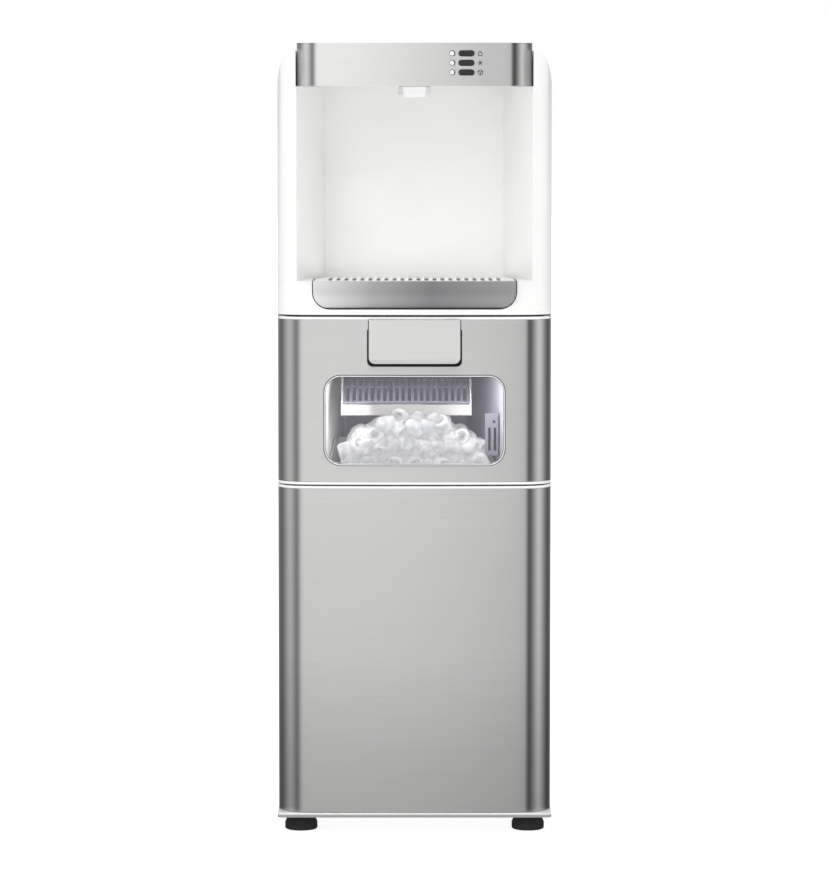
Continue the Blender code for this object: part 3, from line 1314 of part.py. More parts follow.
def make_condenser(fan_inner):
    """The serpentine condenser against the fan, between two end plates."""
    y, z = FAN_Y, VENT_LOW + VENT_HEIGHT / 2
    x = fan_inner - SEAT_GAP - CONDENSER_WIDTH / 2
    half = CONDENSER_LENGTH / 2
    low = z - CONDENSER_PITCH * (CONDENSER_RUNS - 1) / 2
    points = []
    bend = CONDENSER_PITCH / 2
    for i in range(CONDENSER_RUNS):
        level = low + CONDENSER_PITCH * i
        side = 1 if i % 2 == 0 else -1
        points.append((x, y - side * half, level))
        points.append((x, y + side * half, level))
        if i < CONDENSER_RUNS - 1:
            for share in (1 / 3, 2 / 3):
                angle = math.pi * share
                points.append((x, y + side * (half + bend * math.sin(angle)),
                               level + bend * (1 - math.cos(angle))))
    coil = pipe("condenser_coil", points, CONDENSER_TUBE, COPPER, smooth_curve=False)
    wide = CONDENSER_WIDTH / 2
    top = low + CONDENSER_PITCH * (CONDENSER_RUNS - 1)
    for i, share in enumerate((-FIN_SPREAD, FIN_SPREAD)):
        fin_y = y + half * share
        fin = block(f"condenser_fin_{i}", (x - wide, fin_y - CONDENSER_PLATE / 2, low - bend),
                    (x + wide, fin_y + CONDENSER_PLATE / 2, top + bend), tool=True)
        join(coil, fin)
    return Vector((x, y - half, low))


def make_shelves():
    """Two folded sheet shelves between the side panels."""
    side = HALF - SKIN - SEAT_GAP
    for name, top in (("lower_shelf", BASE_TOP + SHELF_RISE), ("upper_shelf", LINER_LOW - SEAT_GAP)):
        path = [(side, top - SHELF_FLANGE), (side, top), (-side, top), (-side, top - SHELF_FLANGE)]
        shelf = sheet(name, path, SHELF_FRONT, BACK - SEAT_GAP - PANEL_GAP, SHELF_SHEET, "Y", GALVANISED)
        holes = [(line_x(), line_y(), LINE_RADIUS * 2)]
        if name == "upper_shelf":
            holes.append((fill_x(), fill_y(), FILL_RADIUS * 2))
        for i, (x, y, radius) in enumerate(holes):
            cut(shelf, rod(f"{name}_hole_{i}", radius, (x, y, top - OVERRUN), (x, y, top + OVERRUN),
                           tool=True,
                           sides=16))


def fill_y():
    """The fill hose rises behind the ice compartment."""
    return LINER_FRONT + LINER_DEPTH + LINER_WALL + FILL_RADIUS * 3


def line_x():
    """The refrigerant line climbs in line with the condenser's first run."""
    return HALF - SKIN - VENT_PLUG - PANEL_GAP - FAN_THICKNESS - SEAT_GAP - CONDENSER_WIDTH / 2


def line_y():
    """The refrigerant line climbs in front of the condenser."""
    return FAN_Y - CONDENSER_LENGTH / 2 - LINE_RADIUS * 5


def shoulder_arc(inset):
    """The right shoulder in the front view, a quarter ellipse from the side up to the top."""
    centre_x, centre_z = HALF - SHOULDER_WIDTH, HOUSING_TOP - SHOULDER_HEIGHT
    wide, tall = SHOULDER_WIDTH - inset, SHOULDER_HEIGHT - inset
    points = []
    for i in range(SHOULDER_STEPS + 1):
        angle = math.pi / 2 * i / SHOULDER_STEPS
        points.append((centre_x + wide * math.cos(angle), centre_z + tall * math.sin(angle)))
    return points


def shoulder_profile(inset, over):
    """The upper housing's front view: straight sides with elliptical shoulders."""
    centre_x, centre_z = HALF - SHOULDER_WIDTH, HOUSING_TOP - SHOULDER_HEIGHT
    low = HOUSING_LOW - OVERRUN
    points = [(HALF + OVERRUN, low), (HALF + OVERRUN, centre_z)] + shoulder_arc(inset)
    if over:
        points.append((centre_x, HOUSING_TOP + OVERRUN))
    return points + [(-x, z) for x, z in reversed(points)]


def bay_plan(growth, front):
    """The dispensing bay in plan, narrowing to the back wall."""
    mouth = BAY_MOUTH_HALF + growth + BAY_SLOPE * (FRONT - front)
    back = BAY_BACK_HALF + growth - BAY_SLOPE * growth
    return [(-mouth, front), (mouth, front), (back, BAY_BACK + growth), (-back, BAY_BACK + growth)]


def drip_section(growth, top):
    """The drip drawer's section: a U with round lower corners."""
    half = TRAY_HALF + growth
    radius = DRIP_CORNER + growth
    return rounded(-half, half, DECK_TOP - DRIP_HEIGHT - growth, top, (radius, radius, 0, 0))


def drip_plan(growth, front, spread=0):
    """The drip drawer's plan: straight sides that then draw in with the bay's walls to round corners."""
    half = TRAY_HALF + growth
    side = half + spread
    radius = GRILLE_CORNER + growth
    back = FRONT + DRIP_DEPTH + growth
    bend = FRONT + (BAY_MOUTH_HALF - DRIP_LIP - TRAY_HALF) / BAY_SLOPE
    rear = half - BAY_SLOPE * (back - radius - bend)
    right = [(side, front), (side, bend - spread / BAY_SLOPE)]
    right += arc((rear - radius, back - radius), radius, 0, 90, ROUND_STEPS)
    return right + [(-x, y) for x, y in reversed(right)]


def head_plan(inset, back):
    """The control head in plan, from its bowed front to a straight back."""
    return front_run(HEAD_HALF, HEAD_CORNER, inset) + [(HEAD_HALF - inset, back), (inset - HEAD_HALF, back)]


def make_upper_housing():
    """The white moulding round the dispensing bay, with round shoulders and a hollow back."""
    wall = HOUSING_WALL
    plan = front_run(HALF, CORNER_RADIUS, 0) + [(HALF, BACK - SEAT_GAP), (-HALF, BACK - SEAT_GAP)]
    housing = prism("upper_housing", [plan], HOUSING_LOW, HOUSING_TOP, finish=WHITE)
    keep(housing,
         prism("shoulders", [shoulder_profile(0, True)], FRONT - OVERRUN, BACK + OVERRUN, "Y", tool=True))

    head_back = FRONT + HEAD_DEPTH
    slot_half = HEAD_HALF + SKIN
    inner_plan = front_run(HALF, CORNER_RADIUS, wall) + [(HALF - wall, BACK + OVERRUN),
                                                         (wall - HALF, BACK + OVERRUN)]
    inside = prism("housing_inside", [inner_plan], HOUSING_LOW + HOUSING_FLOOR, HOUSING_TOP - wall,
                   tool=True)
    keep(inside, prism("inner_shoulders", [shoulder_profile(wall, False)], FRONT - OVERRUN * 2,
                       BACK + OVERRUN * 2,
                       "Y", tool=True))
    bay_shell = prism("bay_shell", [bay_plan(wall, FRONT - OVERRUN)], DECK_TOP - wall,
                      HEAD_LOW + HEAD_FLOOR, tool=True)
    head_shell = block("head_shell", (-slot_half - wall, FRONT - OVERRUN, HEAD_LOW - wall),
                       (slot_half + wall, head_back + SEAT_GAP + wall, HOUSING_TOP + OVERRUN), tool=True)
    drip_shell = prism("drip_shell", [drip_section(RUN_GAP + wall, DECK_TOP + OVERRUN)], FRONT - OVERRUN,
                       FRONT + DRIP_DEPTH + RUN_GAP + wall, "Y", tool=True)
    cut(inside, bay_shell, head_shell, drip_shell)

    bay = prism("bay", [bay_plan(0, FRONT - OVERRUN * 2)], DECK_TOP, HEAD_LOW, tool=True)
    head_slot = block("head_slot", (-slot_half, FRONT - OVERRUN * 2, HEAD_LOW - SEAT_GAP),
                      (slot_half, head_back + SEAT_GAP, HOUSING_TOP + OVERRUN * 2), tool=True)
    top_half = HEAD_HALF - PANEL_FLANGE
    top_hole = block("top_hole", (-top_half, head_back + SEAT_GAP + wall, HOUSING_TOP - wall * 2),
                     (top_half, BACK + OVERRUN * 2, HOUSING_TOP + OVERRUN * 2), tool=True)
    drip_recess = prism("drip_recess", [drip_section(RUN_GAP, DECK_TOP + OVERRUN)], FRONT - OVERRUN * 2,
                        FRONT + DRIP_DEPTH + OVERRUN * 2, "Y", tool=True)
    keep(drip_recess, prism("drip_recess_plan", [drip_plan(RUN_GAP, FRONT - OVERRUN * 3, OVERRUN)],
                            HOUSING_LOW - OVERRUN, DECK_TOP + OVERRUN * 2, tool=True))
    hose_gap = block("hose_gap", (-VALVE_HALF * 2, head_back - OVERRUN, HEAD_LOW + HEAD_FLOOR * 3),
                     (VALVE_HALF * 2, head_back + wall + OVERRUN, HOUSING_TOP - wall * 3), tool=True)
    cut(housing, inside, bay, head_slot, top_hole, drip_recess, hose_gap)


def control_rows():
    """Heights of the three control rows, top to bottom."""
    return [HEIGHT - BUTTON_TOP_DROP - BUTTON_PITCH * i for i in range(3)]


def capsule(x, z, width, height):
    """A button's outline, with ends that are nearly half round."""
    return rounded(x - width / 2, x + width / 2, z - height / 2, z + height / 2, height * CAPSULE_SHARE, 2)


def make_top():
    """The top cover with the control head under its front edge, the steel band round it and the controls."""
    inset = SKIN + SEAT_GAP
    head_back = FRONT + HEAD_DEPTH
    deck_top = HEIGHT - TOP_SINK
    deck_low = HOUSING_TOP + SEAT_GAP
    cover = prism("top_cover", [head_plan(inset, BACK - SEAT_GAP)], deck_low, deck_top, finish=WHITE)
    head = prism("head_box", [head_plan(inset, head_back)], HEAD_LOW, deck_low + HEAD_WALL, tool=True)
    inner = inset + HEAD_WALL
    inside = prism("head_inside", [head_plan(inner, head_back + OVERRUN)], HEAD_LOW + HEAD_FLOOR,
                   deck_low + HEAD_WALL / 2, tool=True)
    join(cover, head)
    cut(cover, inside)
    seat_y = tank_y()
    cut(cover, rod("seat_hole", SEAT_BODY_RADIUS + RUN_GAP, (0, seat_y, deck_low - OVERRUN),
                   (0, seat_y, deck_top + OVERRUN), tool=True, sides=20))

    band = sheet("control_fascia", front_run(HEAD_HALF, HEAD_CORNER, 0,
                                             corner_centre_y(HEAD_HALF, HEAD_CORNER) + FASCIA_RETURN),
                 HEAD_LOW, HEIGHT, SKIN, finish=STEEL)
    front_cut, rear_cut = FRONT - OVERRUN, FRONT + OVERRUN * 2
    buttons = []
    for name, z in zip(("heating_button", "cooling_button", "ice_button"), control_rows()):
        hole = prism(f"{name}_hole",
                     [capsule(BUTTON_X, z, BUTTON_WIDTH + SEAT_GAP * 2, BUTTON_HEIGHT + SEAT_GAP * 2)],
                     front_cut, rear_cut, "Y", tool=True)
        lens_hole = rod(f"{name}_lens_hole", LENS_RADIUS + SEAT_GAP, (LENS_X, front_cut, z),
                        (LENS_X, rear_cut, z),
                        tool=True, sides=10)
        cut(cover, hole, lens_hole)
        cut(band, hole, lens_hole)
        start = bow_y(BUTTON_X) - BUTTON_PROUD
        button = prism(name, [capsule(BUTTON_X, z, BUTTON_WIDTH, BUTTON_HEIGHT)], start,
                       start + BUTTON_LENGTH, "Y",
                       finish=DARK)
        axis_at(f"{name}_axis", (BUTTON_X, start, z), button)
        buttons.append(button)

    rows = control_rows()
    strip_y = bow_y(LENS_X + LENS_STRIP_WIDTH, inner) + SEAT_GAP
    half = LENS_STRIP_WIDTH / 2
    guide = block("light_guide", (LENS_X - half, strip_y, rows[-1] - half),
                  (LENS_X + half, strip_y + LENS_STRIP_THICKNESS, rows[0] + LENS_RADIUS), CLEAR)
    for i, z in enumerate(rows):
        join(guide, rod(f"lens_{i}", LENS_RADIUS, (LENS_X, bow_y(LENS_X), z),
                        (LENS_X, strip_y + LENS_STRIP_THICKNESS / 2, z), tool=True, sides=10))
    make_control_board(inner)
    make_nozzle_and_valves(cover, head_back)


def make_control_board(wall_inset):
    """The circuit board behind the controls, on four posts, with a switch behind each button."""
    rows = control_rows()
    switch_y = bow_y(BUTTON_X) - BUTTON_PROUD + BUTTON_LENGTH + BUTTON_TRAVEL + SEAT_GAP
    board_y = switch_y + SWITCH_SIZE / 2
    left, right = BUTTON_X - BOARD_HALF * 2, BUTTON_X + BOARD_HALF
    low, high = rows[-1] - SWITCH_SIZE, rows[0] + LENS_RADIUS
    board = block("control_board", (left, board_y, low), (right, board_y + BOARD_THICKNESS, high), CIRCUIT)
    for i, z in enumerate(rows):
        half = SWITCH_SIZE / 2
        join(board, block(f"switch_{i}", (BUTTON_X - half, switch_y, z - half),
                          (BUTTON_X + half, board_y + BOARD_THICKNESS / 2, z + half), tool=True))
    for i, (x, z) in enumerate([(left + POST_RADIUS * 2, low + POST_RADIUS),
                                (left + POST_RADIUS * 2, high - POST_RADIUS),
                                (right - POST_RADIUS, low + POST_RADIUS), (right - POST_RADIUS,
                                                                           high - POST_RADIUS)]):
        front = bow_y(x + POST_RADIUS, wall_inset) + SEAT_GAP
        join(board, rod(f"board_post_{i}", POST_RADIUS, (x, front, z),
                        (x, board_y + BOARD_THICKNESS / 2, z),
                        tool=True, sides=12))


def make_nozzle_and_valves(cover, head_back):
    """The white nozzle under the head, the twin valve above it and the two buttons in the top deck."""
    y = FRONT + NOZZLE_SETBACK
    top = HEAD_LOW - SEAT_GAP
    low = top - NOZZLE_HEIGHT
    nozzle = block("nozzle_shroud", (-NOZZLE_TOP_WIDTH / 2, y - NOZZLE_TOP_DEPTH / 2, low),
                   (NOZZLE_TOP_WIDTH / 2, y + NOZZLE_TOP_DEPTH / 2, top), WHITE)
    for vert in nozzle.data.vertices:
        if vert.co.z < 0:
            vert.co.x *= NOZZLE_TAPER
            vert.co.y *= NOZZLE_TAPER
    edge = nozzle.modifiers.new("rounded_edges", "BEVEL")
    edge.width = NOZZLE_CORNER
    edge.segments = 3
    edge.limit_method = "ANGLE"
    edge.angle_limit = math.radians(85)
    spout = rod("spout", SPOUT_RADIUS, (0, y, low - SPOUT_DROP), (0, y, low + NOZZLE_HEIGHT / 2), tool=True,
                sides=16)
    shank_top = HEAD_LOW + HEAD_FLOOR + SPOUT_SHANK
    shank = rod("spout_shank", SPOUT_RADIUS - SPOUT_DROP / 2, (0, y, low + NOZZLE_HEIGHT / 2),
                (0, y, shank_top),
                tool=True, sides=16)
    join(nozzle, spout, shank)
    cut(nozzle, rod("spout_bore", SPOUT_BORE, (0, y, low - SPOUT_DROP - OVERRUN),
                    (0, y, shank_top + OVERRUN),
                    tool=True, sides=12))
    cut(cover, rod("shank_hole", SPOUT_RADIUS, (0, y, HEAD_LOW - OVERRUN),
                   (0, y, HEAD_LOW + HEAD_FLOOR + OVERRUN / 2), tool=True, sides=16))

    block_low = shank_top + SEAT_GAP
    block_top = block_low + VALVE_HEIGHT
    valve = block("valve_block", (-VALVE_HALF, y - VALVE_DEPTH / 2, block_low),
                  (VALVE_HALF, y + VALVE_DEPTH / 2, block_top),
                  WHITE)
    barb_z = block_low + VALVE_HEIGHT * BARB_SHARE
    barb_end = y + VALVE_DEPTH / 2 + BARB_LENGTH
    deck_low = HOUSING_TOP + SEAT_GAP
    deck_top = HEIGHT - TOP_SINK
    under = deck_low + HEAD_WALL / 2
    for side, name in ((-1, "hot_water_button"), (1, "cold_water_button")):
        x = side * TOP_BUTTON_SPREAD
        join(valve, rod(f"valve_stem_{side}", VALVE_STEM_RADIUS, (x, y, block_top - VALVE_STEM),
                        (x, y, block_top + VALVE_STEM),
                        tool=True, sides=12))
        join(valve, rod(f"valve_barb_{side}", BARB_RADIUS, (x, y, barb_z), (x, barb_end, barb_z), tool=True,
                        sides=8))
        radius = TOP_BUTTON_RADIUS
        flange_top = under - SEAT_GAP
        flange_low = flange_top - TOP_BUTTON_FLANGE
        cap_top = HEIGHT - SEAT_GAP
        crown = SEAT_GAP * 4
        profile = [(0, cap_top), (radius - crown * 2, cap_top), (radius, cap_top - crown),
                   (radius, flange_top),
                   (radius + TOP_BUTTON_FLANGE, flange_top), (radius + TOP_BUTTON_FLANGE,
                                                              flange_low), (0, flange_low)]
        button = turned(name, [(r, z - cap_top) for r, z in profile], (x, y, cap_top), WHITE, sides=16)
        cut(cover, rod(f"{name}_hole", radius + RUN_GAP, (x, y, deck_low - OVERRUN),
                       (x, y, deck_top + OVERRUN),
                       tool=True, sides=16))
        axis_at(f"{name}_axis", (x, y, cap_top), button)
    barb = TOP_BUTTON_SPREAD, barb_end + SEAT_GAP, barb_z
    make_bottle_seat_and_tanks(barb)


def tank_y():
    """The cold tank stands just behind the bay, under the bottle."""
    return BAY_BACK + HOUSING_WALL + MACHINE_GAP + COLD_RADIUS + SEAT_GAP + JACKET_WALL


def make_bottle_seat_and_tanks(barb):
    """The bottle seat in the top deck, the insulated cold tank under it, the hot tank and their hoses."""
    y = tank_y()
    lip_low = HEIGHT - TOP_SINK + SEAT_GAP
    top = lip_low + SEAT_LIP
    bottom = top - SEAT_DEPTH
    floor = bottom + SEAT_WALL
    neck_top = top - SEAT_DISH
    probe_top = floor + PROBE_HEIGHT
    profile = [
        (PROBE_BORE, probe_top), (PROBE_RADIUS / 2, probe_top), (PROBE_RADIUS, probe_top - PROBE_RADIUS),
        (PROBE_RADIUS, floor), (SEAT_NECK_RADIUS, floor), (SEAT_NECK_RADIUS, neck_top),
        (SEAT_BODY_RADIUS - SEAT_WALL * 2, top - SEAT_LIP), (SEAT_BODY_RADIUS, top), (SEAT_RIM_RADIUS, top),
        (SEAT_RIM_RADIUS, lip_low), (SEAT_BODY_RADIUS, lip_low), (SEAT_BODY_RADIUS,
                                                                  lip_low - SEAT_WALL * 2),
        (SEAT_NECK_RADIUS + SEAT_WALL, neck_top - SEAT_WALL), (SEAT_NECK_RADIUS + SEAT_WALL, bottom),
        (PROBE_BORE, bottom),
    ]
    turned("bottle_seat", [(r, z - top) for r, z in profile], (0, y, top), WHITE, sides=20)

    tank_top = bottom - SEAT_GAP
    low = tank_top - COLD_HEIGHT
    inner = COLD_RADIUS - COLD_WALL
    profile = [
        (0, low + COLD_WALL), (inner, low + COLD_WALL), (inner, tank_top - COLD_WALL), (COLD_MOUTH,
                                                                                        tank_top - COLD_WALL),
        (COLD_MOUTH, tank_top), (COLD_RADIUS, tank_top), (COLD_RADIUS, low), (0, low),
    ]
    tank = turned("cold_tank", [(r, z - low) for r, z in profile], (0, y, low), TUBE_STEEL, sides=16)
    jacket_in = COLD_RADIUS + SEAT_GAP
    jacket_out = jacket_in + JACKET_WALL
    jacket_low = low - JACKET_FLOOR
    jacket_floor = low - SEAT_GAP
    jacket_top = tank_top - COLD_WALL
    profile = [
        (0, jacket_floor), (jacket_in, jacket_floor), (jacket_in, jacket_top), (jacket_out, jacket_top),
        (jacket_out, jacket_low), (0, jacket_low),
    ]
    jacket = turned("cold_tank_jacket", [(r, z - jacket_low) for r, z in profile], (0, y, jacket_low), FOAM,
                    sides=16)
    port_z = low + PORT_RISE
    port_x = jacket_out + PORT_LENGTH
    join(tank, rod("cold_port", PORT_RADIUS, (inner + COLD_WALL / 2, y, port_z), (port_x, y, port_z),
                   tool=True, sides=12))
    cut(jacket, rod("cold_port_hole", PORT_RADIUS + SEAT_GAP, (0, y, port_z), (port_x, y, port_z),
                    tool=True, sides=12))

    hot_x = MACHINE_GAP + HOUSING_WALL + HOT_RADIUS - HALF
    hot_y = BACK - MACHINE_GAP * 2 - HOT_RADIUS
    hot_low = HOUSING_LOW + HOUSING_FLOOR + SEAT_GAP
    hot_top = hot_low + HOT_HEIGHT
    dome = HOT_RADIUS / 4
    profile = [
        (0, hot_top + PORT_LENGTH), (PORT_RADIUS, hot_top + PORT_LENGTH), (PORT_RADIUS, hot_top),
        (HOT_RADIUS - dome, hot_top - dome / 4), (HOT_RADIUS, hot_top - dome), (HOT_RADIUS, hot_low + dome),
        (HOT_RADIUS - dome, hot_low + dome / 2), (HOT_RADIUS - dome, hot_low), (0, hot_low),
    ]
    turned("hot_tank", [(r, z - hot_low) for r, z in profile], (hot_x, hot_y, hot_low), TUBE_STEEL,
           sides=16)

    barb_x, barb_y, barb_z = barb
    start = Vector((port_x + SEAT_GAP, y, port_z))
    swing = HOSE_SWING
    cold_route = [
        start, start + Vector((swing / 2, 0, 0)), start + Vector((swing, 0, swing)),
        Vector((start.x + swing, y, barb_z - swing)), Vector((start.x + swing / 2, y - swing, barb_z)),
        Vector((barb_x + swing, barb_y + swing * 2, barb_z)), Vector((barb_x, barb_y + swing, barb_z)),
        Vector((barb_x, barb_y, barb_z)),
    ]
    pipe("cold_hose", cold_route, HOSE_RADIUS, SILICONE)
    top_port = Vector((hot_x, hot_y, hot_top + PORT_LENGTH + SEAT_GAP))
    hot_route = [
        top_port, top_port + Vector((0, 0, swing / 2)), Vector((hot_x, hot_y, barb_z - swing)),
        Vector((hot_x + swing / 2, hot_y - swing, barb_z)), Vector((-barb_x - swing * 2, barb_y + swing * 2,
                                                                    barb_z)),
        Vector((-barb_x, barb_y + swing, barb_z)), Vector((-barb_x, barb_y, barb_z)),
    ]
    pipe("hot_hose", hot_route, HOSE_RADIUS, SILICONE)


def make_drip_tray():
    """The slide-out drip drawer: silver front, basin and lift-out grille."""
    front_face = FRONT + DRIP_BACK
    top = DECK_TOP
    bottom = DECK_TOP - DRIP_HEIGHT
    profile = [(front_face, top)]
    for i in range(DRIP_ARC_STEPS + 1):
        angle = math.pi / 2 * i / DRIP_ARC_STEPS
        profile.append((FRONT + DRIP_TUCK - (DRIP_PROUD + DRIP_TUCK) * math.cos(angle),
                        top - DRIP_SKIN - (DRIP_HEIGHT - DRIP_SKIN) * math.sin(angle)))
    profile.insert(1, (FRONT - DRIP_PROUD, top))
    profile.append((front_face, bottom))
    fascia = prism("drip_fascia", [profile], -TRAY_HALF - OVERRUN, TRAY_HALF + OVERRUN, "X", finish=SILVER)
    keep(fascia, prism("drip_fascia_outline", [drip_section(0, top + OVERRUN)], FRONT - OVERRUN * 2,
                       front_face + OVERRUN, "Y", tool=True))

    start = front_face + SEAT_GAP
    basin = prism("drip_basin", [drip_section(0, top)], start, FRONT + DRIP_DEPTH + OVERRUN, "Y",
                  finish=WHITE)
    keep(basin, prism("basin_plan", [drip_plan(0, FRONT, OVERRUN)], bottom - OVERRUN, top + OVERRUN,
                      tool=True))
    wall = BASIN_WALL
    seat_low = top - GRILLE_THICKNESS - SEAT_GAP
    upper = prism("basin_seat", [drip_plan(-wall, start + wall)], seat_low, top + OVERRUN, tool=True)
    edge = wall + GRILLE_LEDGE
    corner = DRIP_CORNER - edge
    half = TRAY_HALF - edge
    hollow = prism("basin_hollow",
                   [rounded(-half, half, bottom + BASIN_FLOOR, top + OVERRUN, (corner, corner, 0, 0))],
                   start + edge, FRONT + DRIP_DEPTH, "Y", tool=True)
    keep(hollow, prism("hollow_plan", [drip_plan(-edge, FRONT, OVERRUN)], bottom, top + OVERRUN * 2,
                       tool=True))
    cut(basin, upper, hollow)

    inner = wall + SEAT_GAP
    near, far = start + inner, FRONT + DRIP_DEPTH - inner
    outlines = [drip_plan(-inner, near)]
    for i in range(GRILLE_SLOTS):
        x = GRILLE_PITCH * (i - (GRILLE_SLOTS - 1) / 2)
        outlines.append([(x - GRILLE_SLOT / 2, near + GRILLE_MARGIN),
                         (x + GRILLE_SLOT / 2, near + GRILLE_MARGIN),
                         (x + GRILLE_SLOT / 2, far - GRILLE_MARGIN), (x - GRILLE_SLOT / 2,
                                                                      far - GRILLE_MARGIN)])
    grille = prism("drip_grille", outlines, top - GRILLE_THICKNESS, top, finish=WHITE)
    drawer = axis_at("drip_tray_axis", (0, start, bottom), fascia, basin)
    axis_at("drip_grille_axis", (0, start, top), grille, parent=drawer)


def make_machinery():
    """The compressor, its line to the condenser, the water reservoir, pump, fill hose and power board."""
    x, y = COMPRESSOR_X, BACK - COMPRESSOR_INSET
    low = BASE_TOP + COMPRESSOR_LIFT
    top = low + COMPRESSOR_HEIGHT
    radius, dome = COMPRESSOR_RADIUS, COMPRESSOR_DOME
    profile = [(0, top)]
    for i in range(1, 5):
        angle = math.pi / 2 * i / 4
        profile.append((radius - dome + dome * math.sin(angle), top - dome + dome * math.cos(angle)))
    for i in range(1, 4):
        angle = math.pi / 2 * i / 4
        profile.append((radius - dome + dome * math.cos(angle), low + dome - dome * math.sin(angle)))
    profile += [(radius - dome, low), (0, low)]
    can = turned("compressor", [(r, z - low) for r, z in profile], (x, y, low), BLACK, sides=16)
    sheet_top = low + COMPRESSOR_FOOT_SHEET
    for side in (-1, 1):
        foot_y = y + side * (radius - COMPRESSOR_FOOT_WIDTH)
        join(can, block(f"compressor_foot_{side}",
                        (x - COMPRESSOR_FOOT, foot_y - COMPRESSOR_FOOT_WIDTH / 2, low + SEAT_GAP),
                        (x + COMPRESSOR_FOOT, foot_y + COMPRESSOR_FOOT_WIDTH / 2, sheet_top), tool=True))
        for end in (-1, 1):
            pad_x = x + end * (COMPRESSOR_FOOT - GROMMET_RADIUS)
            join(can, rod(f"grommet_{side}_{end}", GROMMET_RADIUS, (pad_x, foot_y, BASE_TOP + SEAT_GAP),
                          (pad_x, foot_y, low + COMPRESSOR_FOOT_SHEET / 2), tool=True, sides=8))
    port = Vector((x + radius + PORT_LENGTH, y, top - dome * 2))
    join(can, rod("compressor_port", LINE_RADIUS, (x, y, port.z), port, tool=True, sides=12))

    coil_y, coil_z = FAN_Y, VENT_LOW + VENT_HEIGHT / 2
    end = Vector((line_x(), coil_y - CONDENSER_LENGTH / 2 - SEAT_GAP,
                  coil_z - CONDENSER_PITCH * (CONDENSER_RUNS - 1) / 2))
    climb = Vector((line_x(), line_y(), 0))
    swing = HOSE_SWING
    shelf_z = BASE_TOP + SHELF_RISE
    route = [
        port + Vector((SEAT_GAP, 0, 0)), port + Vector((swing / 2, 0, 0)),
        Vector((climb.x - swing, (port.y + climb.y) / 2, port.z + swing * 2)),
        climb + Vector((0, 0, shelf_z - swing * 2)),
        climb + Vector((0, 0, shelf_z - swing)),
        climb + Vector((0, 0, shelf_z + swing)),
        climb + Vector((0, 0, LINER_LOW - swing / 2)),
        climb + Vector((0, 0, LINER_LOW + swing / 2)),
        climb + Vector((0, LINE_RADIUS, end.z - LINE_RADIUS * 3)),
        end - Vector((0, LINE_RADIUS * 1.5, 0)),
        end,
    ]
    pipe("refrigerant_line", route, LINE_RADIUS, COPPER)

    floor = BASE_TOP + SHELF_RISE + SEAT_GAP
    wide, deep, tall = RESERVOIR_SIZE
    left, near = RESERVOIR_INSET - HALF, SHELF_FRONT + RESERVOIR_INSET
    tank = prism("water_reservoir", [rounded(left, left + wide, near, near + deep, RESERVOIR_CORNER)],
                 floor, floor + tall, finish=SILICONE)
    wall = RESERVOIR_WALL
    inner = rounded(left + wall, left + wide - wall, near + wall, near + deep - wall, RESERVOIR_CORNER - wall)
    cut(tank, prism("reservoir_hollow", [inner], floor + wall, floor + tall + OVERRUN, tool=True))
    px, py = fill_x(), fill_y()
    pump_top = floor + PUMP_HEIGHT
    profile = [(0, pump_top + PUMP_SPOUT_HEIGHT), (PUMP_SPOUT, pump_top + PUMP_SPOUT_HEIGHT),
               (PUMP_SPOUT, pump_top),
               (PUMP_RADIUS - PUMP_SPOUT,
                pump_top), (PUMP_RADIUS, pump_top - PUMP_SPOUT), (PUMP_RADIUS, floor), (0, floor)]
    turned("water_pump", [(r, z - floor) for r, z in profile], (px, py, floor), MOTOR_CASE, sides=16)
    pivot_y, pivot_z = tray_axis()
    fill_z = pivot_z - TRAY_RADIUS + FILL_HEIGHT
    route = [
        Vector((px, py, pump_top + PUMP_SPOUT_HEIGHT + SEAT_GAP)), Vector((px, py, LINER_LOW)),
        Vector((px, py, fill_z - FILL_RADIUS * 5)), Vector((px, py - FILL_RADIUS, fill_z - FILL_RADIUS)),
        Vector((px, py - FILL_RADIUS * 3, fill_z)), Vector((px, pivot_y + TRAY_RADIUS + FILL_RADIUS,
                                                            fill_z)),
    ]
    pipe("tray_fill_hose", route, FILL_RADIUS, SILICONE)

    wide, deep, tall = BOARD_BOX
    bx, by = BOARD_BOX_X, BACK - BOARD_BOX_INSET
    floor = BASE_TOP + SEAT_GAP
    board = block("power_board", (bx - wide / 2, by - deep / 2, floor),
                  (bx + wide / 2, by + deep / 2, floor + BOARD_THICKNESS * 2),
                  CIRCUIT)
    join(board, block("transformer", (bx - wide / 4, by - deep / 3, floor + BOARD_THICKNESS),
                      (bx + wide / 3, by, floor + tall),
                      tool=True))
    for i in (1, 2):
        cap = rod(f"capacitor_{i}", wide / 10,
                  (bx - wide / 3 + i * wide / 4, by + deep / 4, floor + BOARD_THICKNESS),
                  (bx - wide / 3 + i * wide / 4, by + deep / 4,
                   floor + tall * CAPACITOR_SHARE), tool=True, sides=16)
        join(board, cap)


def build():
    make_base()
    make_feet()
    make_side_panels()
    make_side_vent()
    make_rear_panel()
    make_power_inlet()
    make_lower_panel()
    make_door()
    make_hinge_sill()
    make_ice_liner()
    make_bin_sensor()
    make_ice_basket()
    make_ice_maker_frame()
    make_ice_chute()
    make_water_tray()
    make_tray_motor()
    make_evaporator()
    make_condenser(make_fan())
    make_shelves()
    make_upper_housing()
    make_top()
    make_drip_tray()
    make_machinery()


build()
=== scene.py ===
# %% [markdown]
# A floor-standing water cooler with an ice maker, dressed on its engineering model.
#
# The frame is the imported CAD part: it fixes every size, place and joint. This script keeps the CAD
# pieces whose flat sheets are already right and gives them a finish, and it works out smooth
# surfaces for the pieces that show their curves: skins, mouldings, window, drip drawer and ice.

import math

